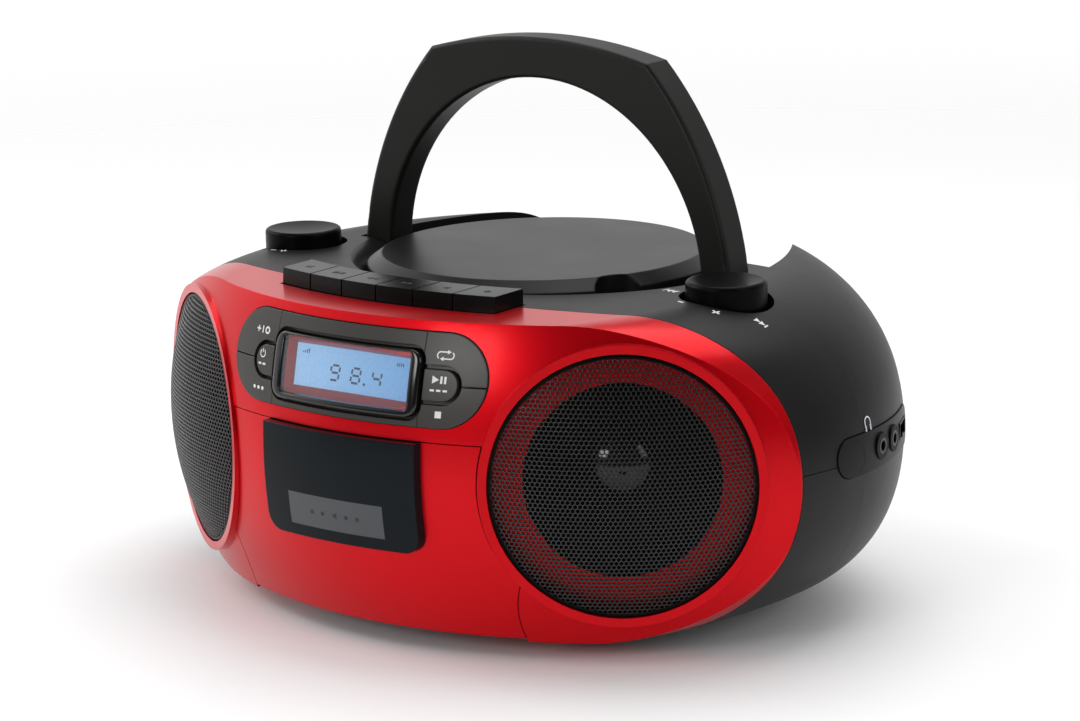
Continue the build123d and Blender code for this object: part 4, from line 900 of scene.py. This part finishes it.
label_x, label_z = np.meshgrid(np.linspace(*LABEL_X, 25), np.linspace(*LABEL_Z, 5))
label_points = on_front(label_x, label_z, WINDOW_RISE + LABEL_LIFT)
label_film = moulded("label_film", colour(66, 69, 72), 0.3, 0.8, 0.002, 0.1, 0.2)
label_faces = grid_faces(*label_x.shape)
add_piece("window_label", label_points.reshape(-1, 3), label_faces, label_film, "door")
arrow_marks = [disc(-12.0, ARROW_Z, 0.9), disc(-6.4, ARROW_Z, 0.9), wedge(-0.4, ARROW_Z, 2.4, -1)]
arrow_marks += [disc(5.6, ARROW_Z, 0.9), disc(11.2, ARROW_Z, 0.9)]


def on_window(flat):
    """Flat points, across and up, laid just above the label."""
    return on_front(flat[:, 0], flat[:, 1], WINDOW_RISE + ARROW_LIFT)


add_marks("window_arrow", arrow_marks, on_window, label_ink, "door")
print("window label", round(float(np.ptp(label_x))), "mm long")

# %% [markdown]
# White signs are printed on the black case too: skip signs and plus and minus round the knobs, and a
# pair of headphones over the sockets. Each lies on a small patch that touches the case at one point and
# bends with it, so a patch is a point, a direction along it, a direction out of it and a bend.

# %% Signs on the case
MARK_LIFT = 0.1

white_thin = ink("white_thin_ink", colour(222, 224, 230), 0.5)


def on_patch(middle, along, outward, bend):
    """Flat points carried to a patch: the middle, plus steps along and across it, lifted by a tenth of a
    millimetre and lowered by half the bend times the square of the step along it."""
    outward = np.array(outward) / np.linalg.norm(outward)
    along = np.array(along) - outward * np.dot(along, outward)
    along /= np.linalg.norm(along)
    upward = np.cross(outward, along)

    def place(flat):
        lift = MARK_LIFT - 0.5 * bend * flat[:, :1] ** 2
        return np.array(middle) + flat[:, :1] * along + flat[:, 1:] * upward + lift * outward

    return place


skip = [wedge(-1.6, 0.0, 2.6, 1), wedge(0.8, 0.0, 2.6, 1), bar((2.5, -1.3), (2.5, 1.3), 0.7)]
back_skip = [(strip * [-1.2, 1.5])[::-1] for strip in skip]
volume_minus = [bar((-1.5, 0.0), (1.5, 0.0), 0.9)]
tuning_minus = [bar((-1.7, 0.0), (1.7, 0.0), 1.3)]
phones = [arc(0.0, 0.6, 2.1, 0.0, 180.0, 0.6)]
phones += [bar((-2.1, 0.6), (-2.1, -2.8), 0.6), bar((2.1, -2.8), (2.1, 0.6), 0.6)]
phones += [bar((-1.9, -2.9), (-1.9, -0.6), 1.1), bar((1.9, -0.6), (1.9, -2.9), 1.1)]
case_signs = {
    "sign_skip_back": (back_skip, (86.0, -14.9, 136.5), (8.8, -2.0, 0.0), (0.0, 0.0, 1.0), 0.0),
    "sign_tuning_minus": (tuning_minus, (101.4, -30.6, 136.5), (8.0, -3.0, 0.0), (0.0, 0.0, 1.0), 0.0),
    "sign_tuning_plus": (
        plus_sign(0.0, 0.0, 1.9), (119.4, -32.5, 134.7), (8.0, -2.0, 0.0), (0.25, -0.05, 0.97), 0.0
    ),
    "sign_skip_on": (skip, (133.4, -21.8, 130.0), (6.1, 0.8, -3.0), (0.47, -0.07, 0.88), 0.02),
    "sign_phones": (phones, (165.6, 5.1, 87.9), (0.0, 1.0, 0.0), (0.981, 0.045, 0.191), 0.0),
    "sign_volume_minus": (volume_minus, (-109.6, -31.6, 136.4), (1.0, 0.0, 0.0), (-0.07, 0.0, 1.0), 0.0),
    "sign_volume_plus": (plus_sign(0.0, 0.0, 1.6), (-103.8, -31.6, 136.6), (1.0, 0.0, 0.0), (0.0, 0.0, 1.0), 0.0),
}
for name, (ribbons, middle, along, outward, bend) in case_signs.items():
    add_marks(name, ribbons, on_patch(middle, along, outward, bend), white_thin, "case")
print("case signs:", len(case_signs))

# %% [markdown]
# Each audio jack sits in a near-black ring, painted shade for the dark well round it, with a grey inner
# ring, and the socket panel has a faint round seam at its front half. Thin rings stand for them, each square
# to the bowed end where it sits. The USB socket's metal lies in deep shade, so it gets a dark steel of its own.

# %% Socket rings
SOCKET_Z = 77.0
WELL_RADIUS = 3.65
WELL_WIDTH = 3.5
RING_RADIUS = 2.75
RING_WIDTH = 0.9
RING_LIFT = 0.1

# painted shade for the jacks' wells; the same near-black also draws the panel's seam
well_shade_and_seam_ink = ink("well_shade_and_seam_ink", colour(4, 4, 4), 0.7)
ring_ink = ink("ring_ink", colour(58, 57, 56), 0.4)
jack_places = {"front": ((167.08, 14.3), (0.992, 0.125)), "rear": ((164.65, 27.3), (0.969, 0.245))}
for name, ((x, y), (out_x, out_y)) in jack_places.items():
    along, outward = (-out_y, out_x, 0.0), (out_x, out_y, 0.0)
    face = on_patch((x, y, SOCKET_Z), along, outward, 0.0)
    add_marks("jack_well_shade_" + name, [arc(0.0, 0.0, WELL_RADIUS, 0.0, 360.0, WELL_WIDTH)], face, well_shade_and_seam_ink, "case")
    nearer = on_patch((x + RING_LIFT * out_x, y + RING_LIFT * out_y, SOCKET_Z), along, outward, 0.0)
    add_marks("jack_ring_" + name, [arc(0.0, 0.0, RING_RADIUS, 0.0, 360.0, RING_WIDTH)], nearer, ring_ink, "case")
seam = on_patch((167.45, -1.0, 76.0), (0.0, 1.0, 0.0), (1.0, 0.0, 0.02), 0.008)
add_marks("panel_seam", [arc(-7.2, 0.5, 8.2, -55.0, 55.0, 0.22)], seam, well_shade_and_seam_ink, "case")
shaded_steel = metal("shaded_steel", colour(26, 26, 27), 0.4, "Y", 0.002)
nodes["usb_socket"].data.materials.clear()
nodes["usb_socket"].data.materials.append(shaded_steel)
print("socket rings:", 2 * len(jack_places))
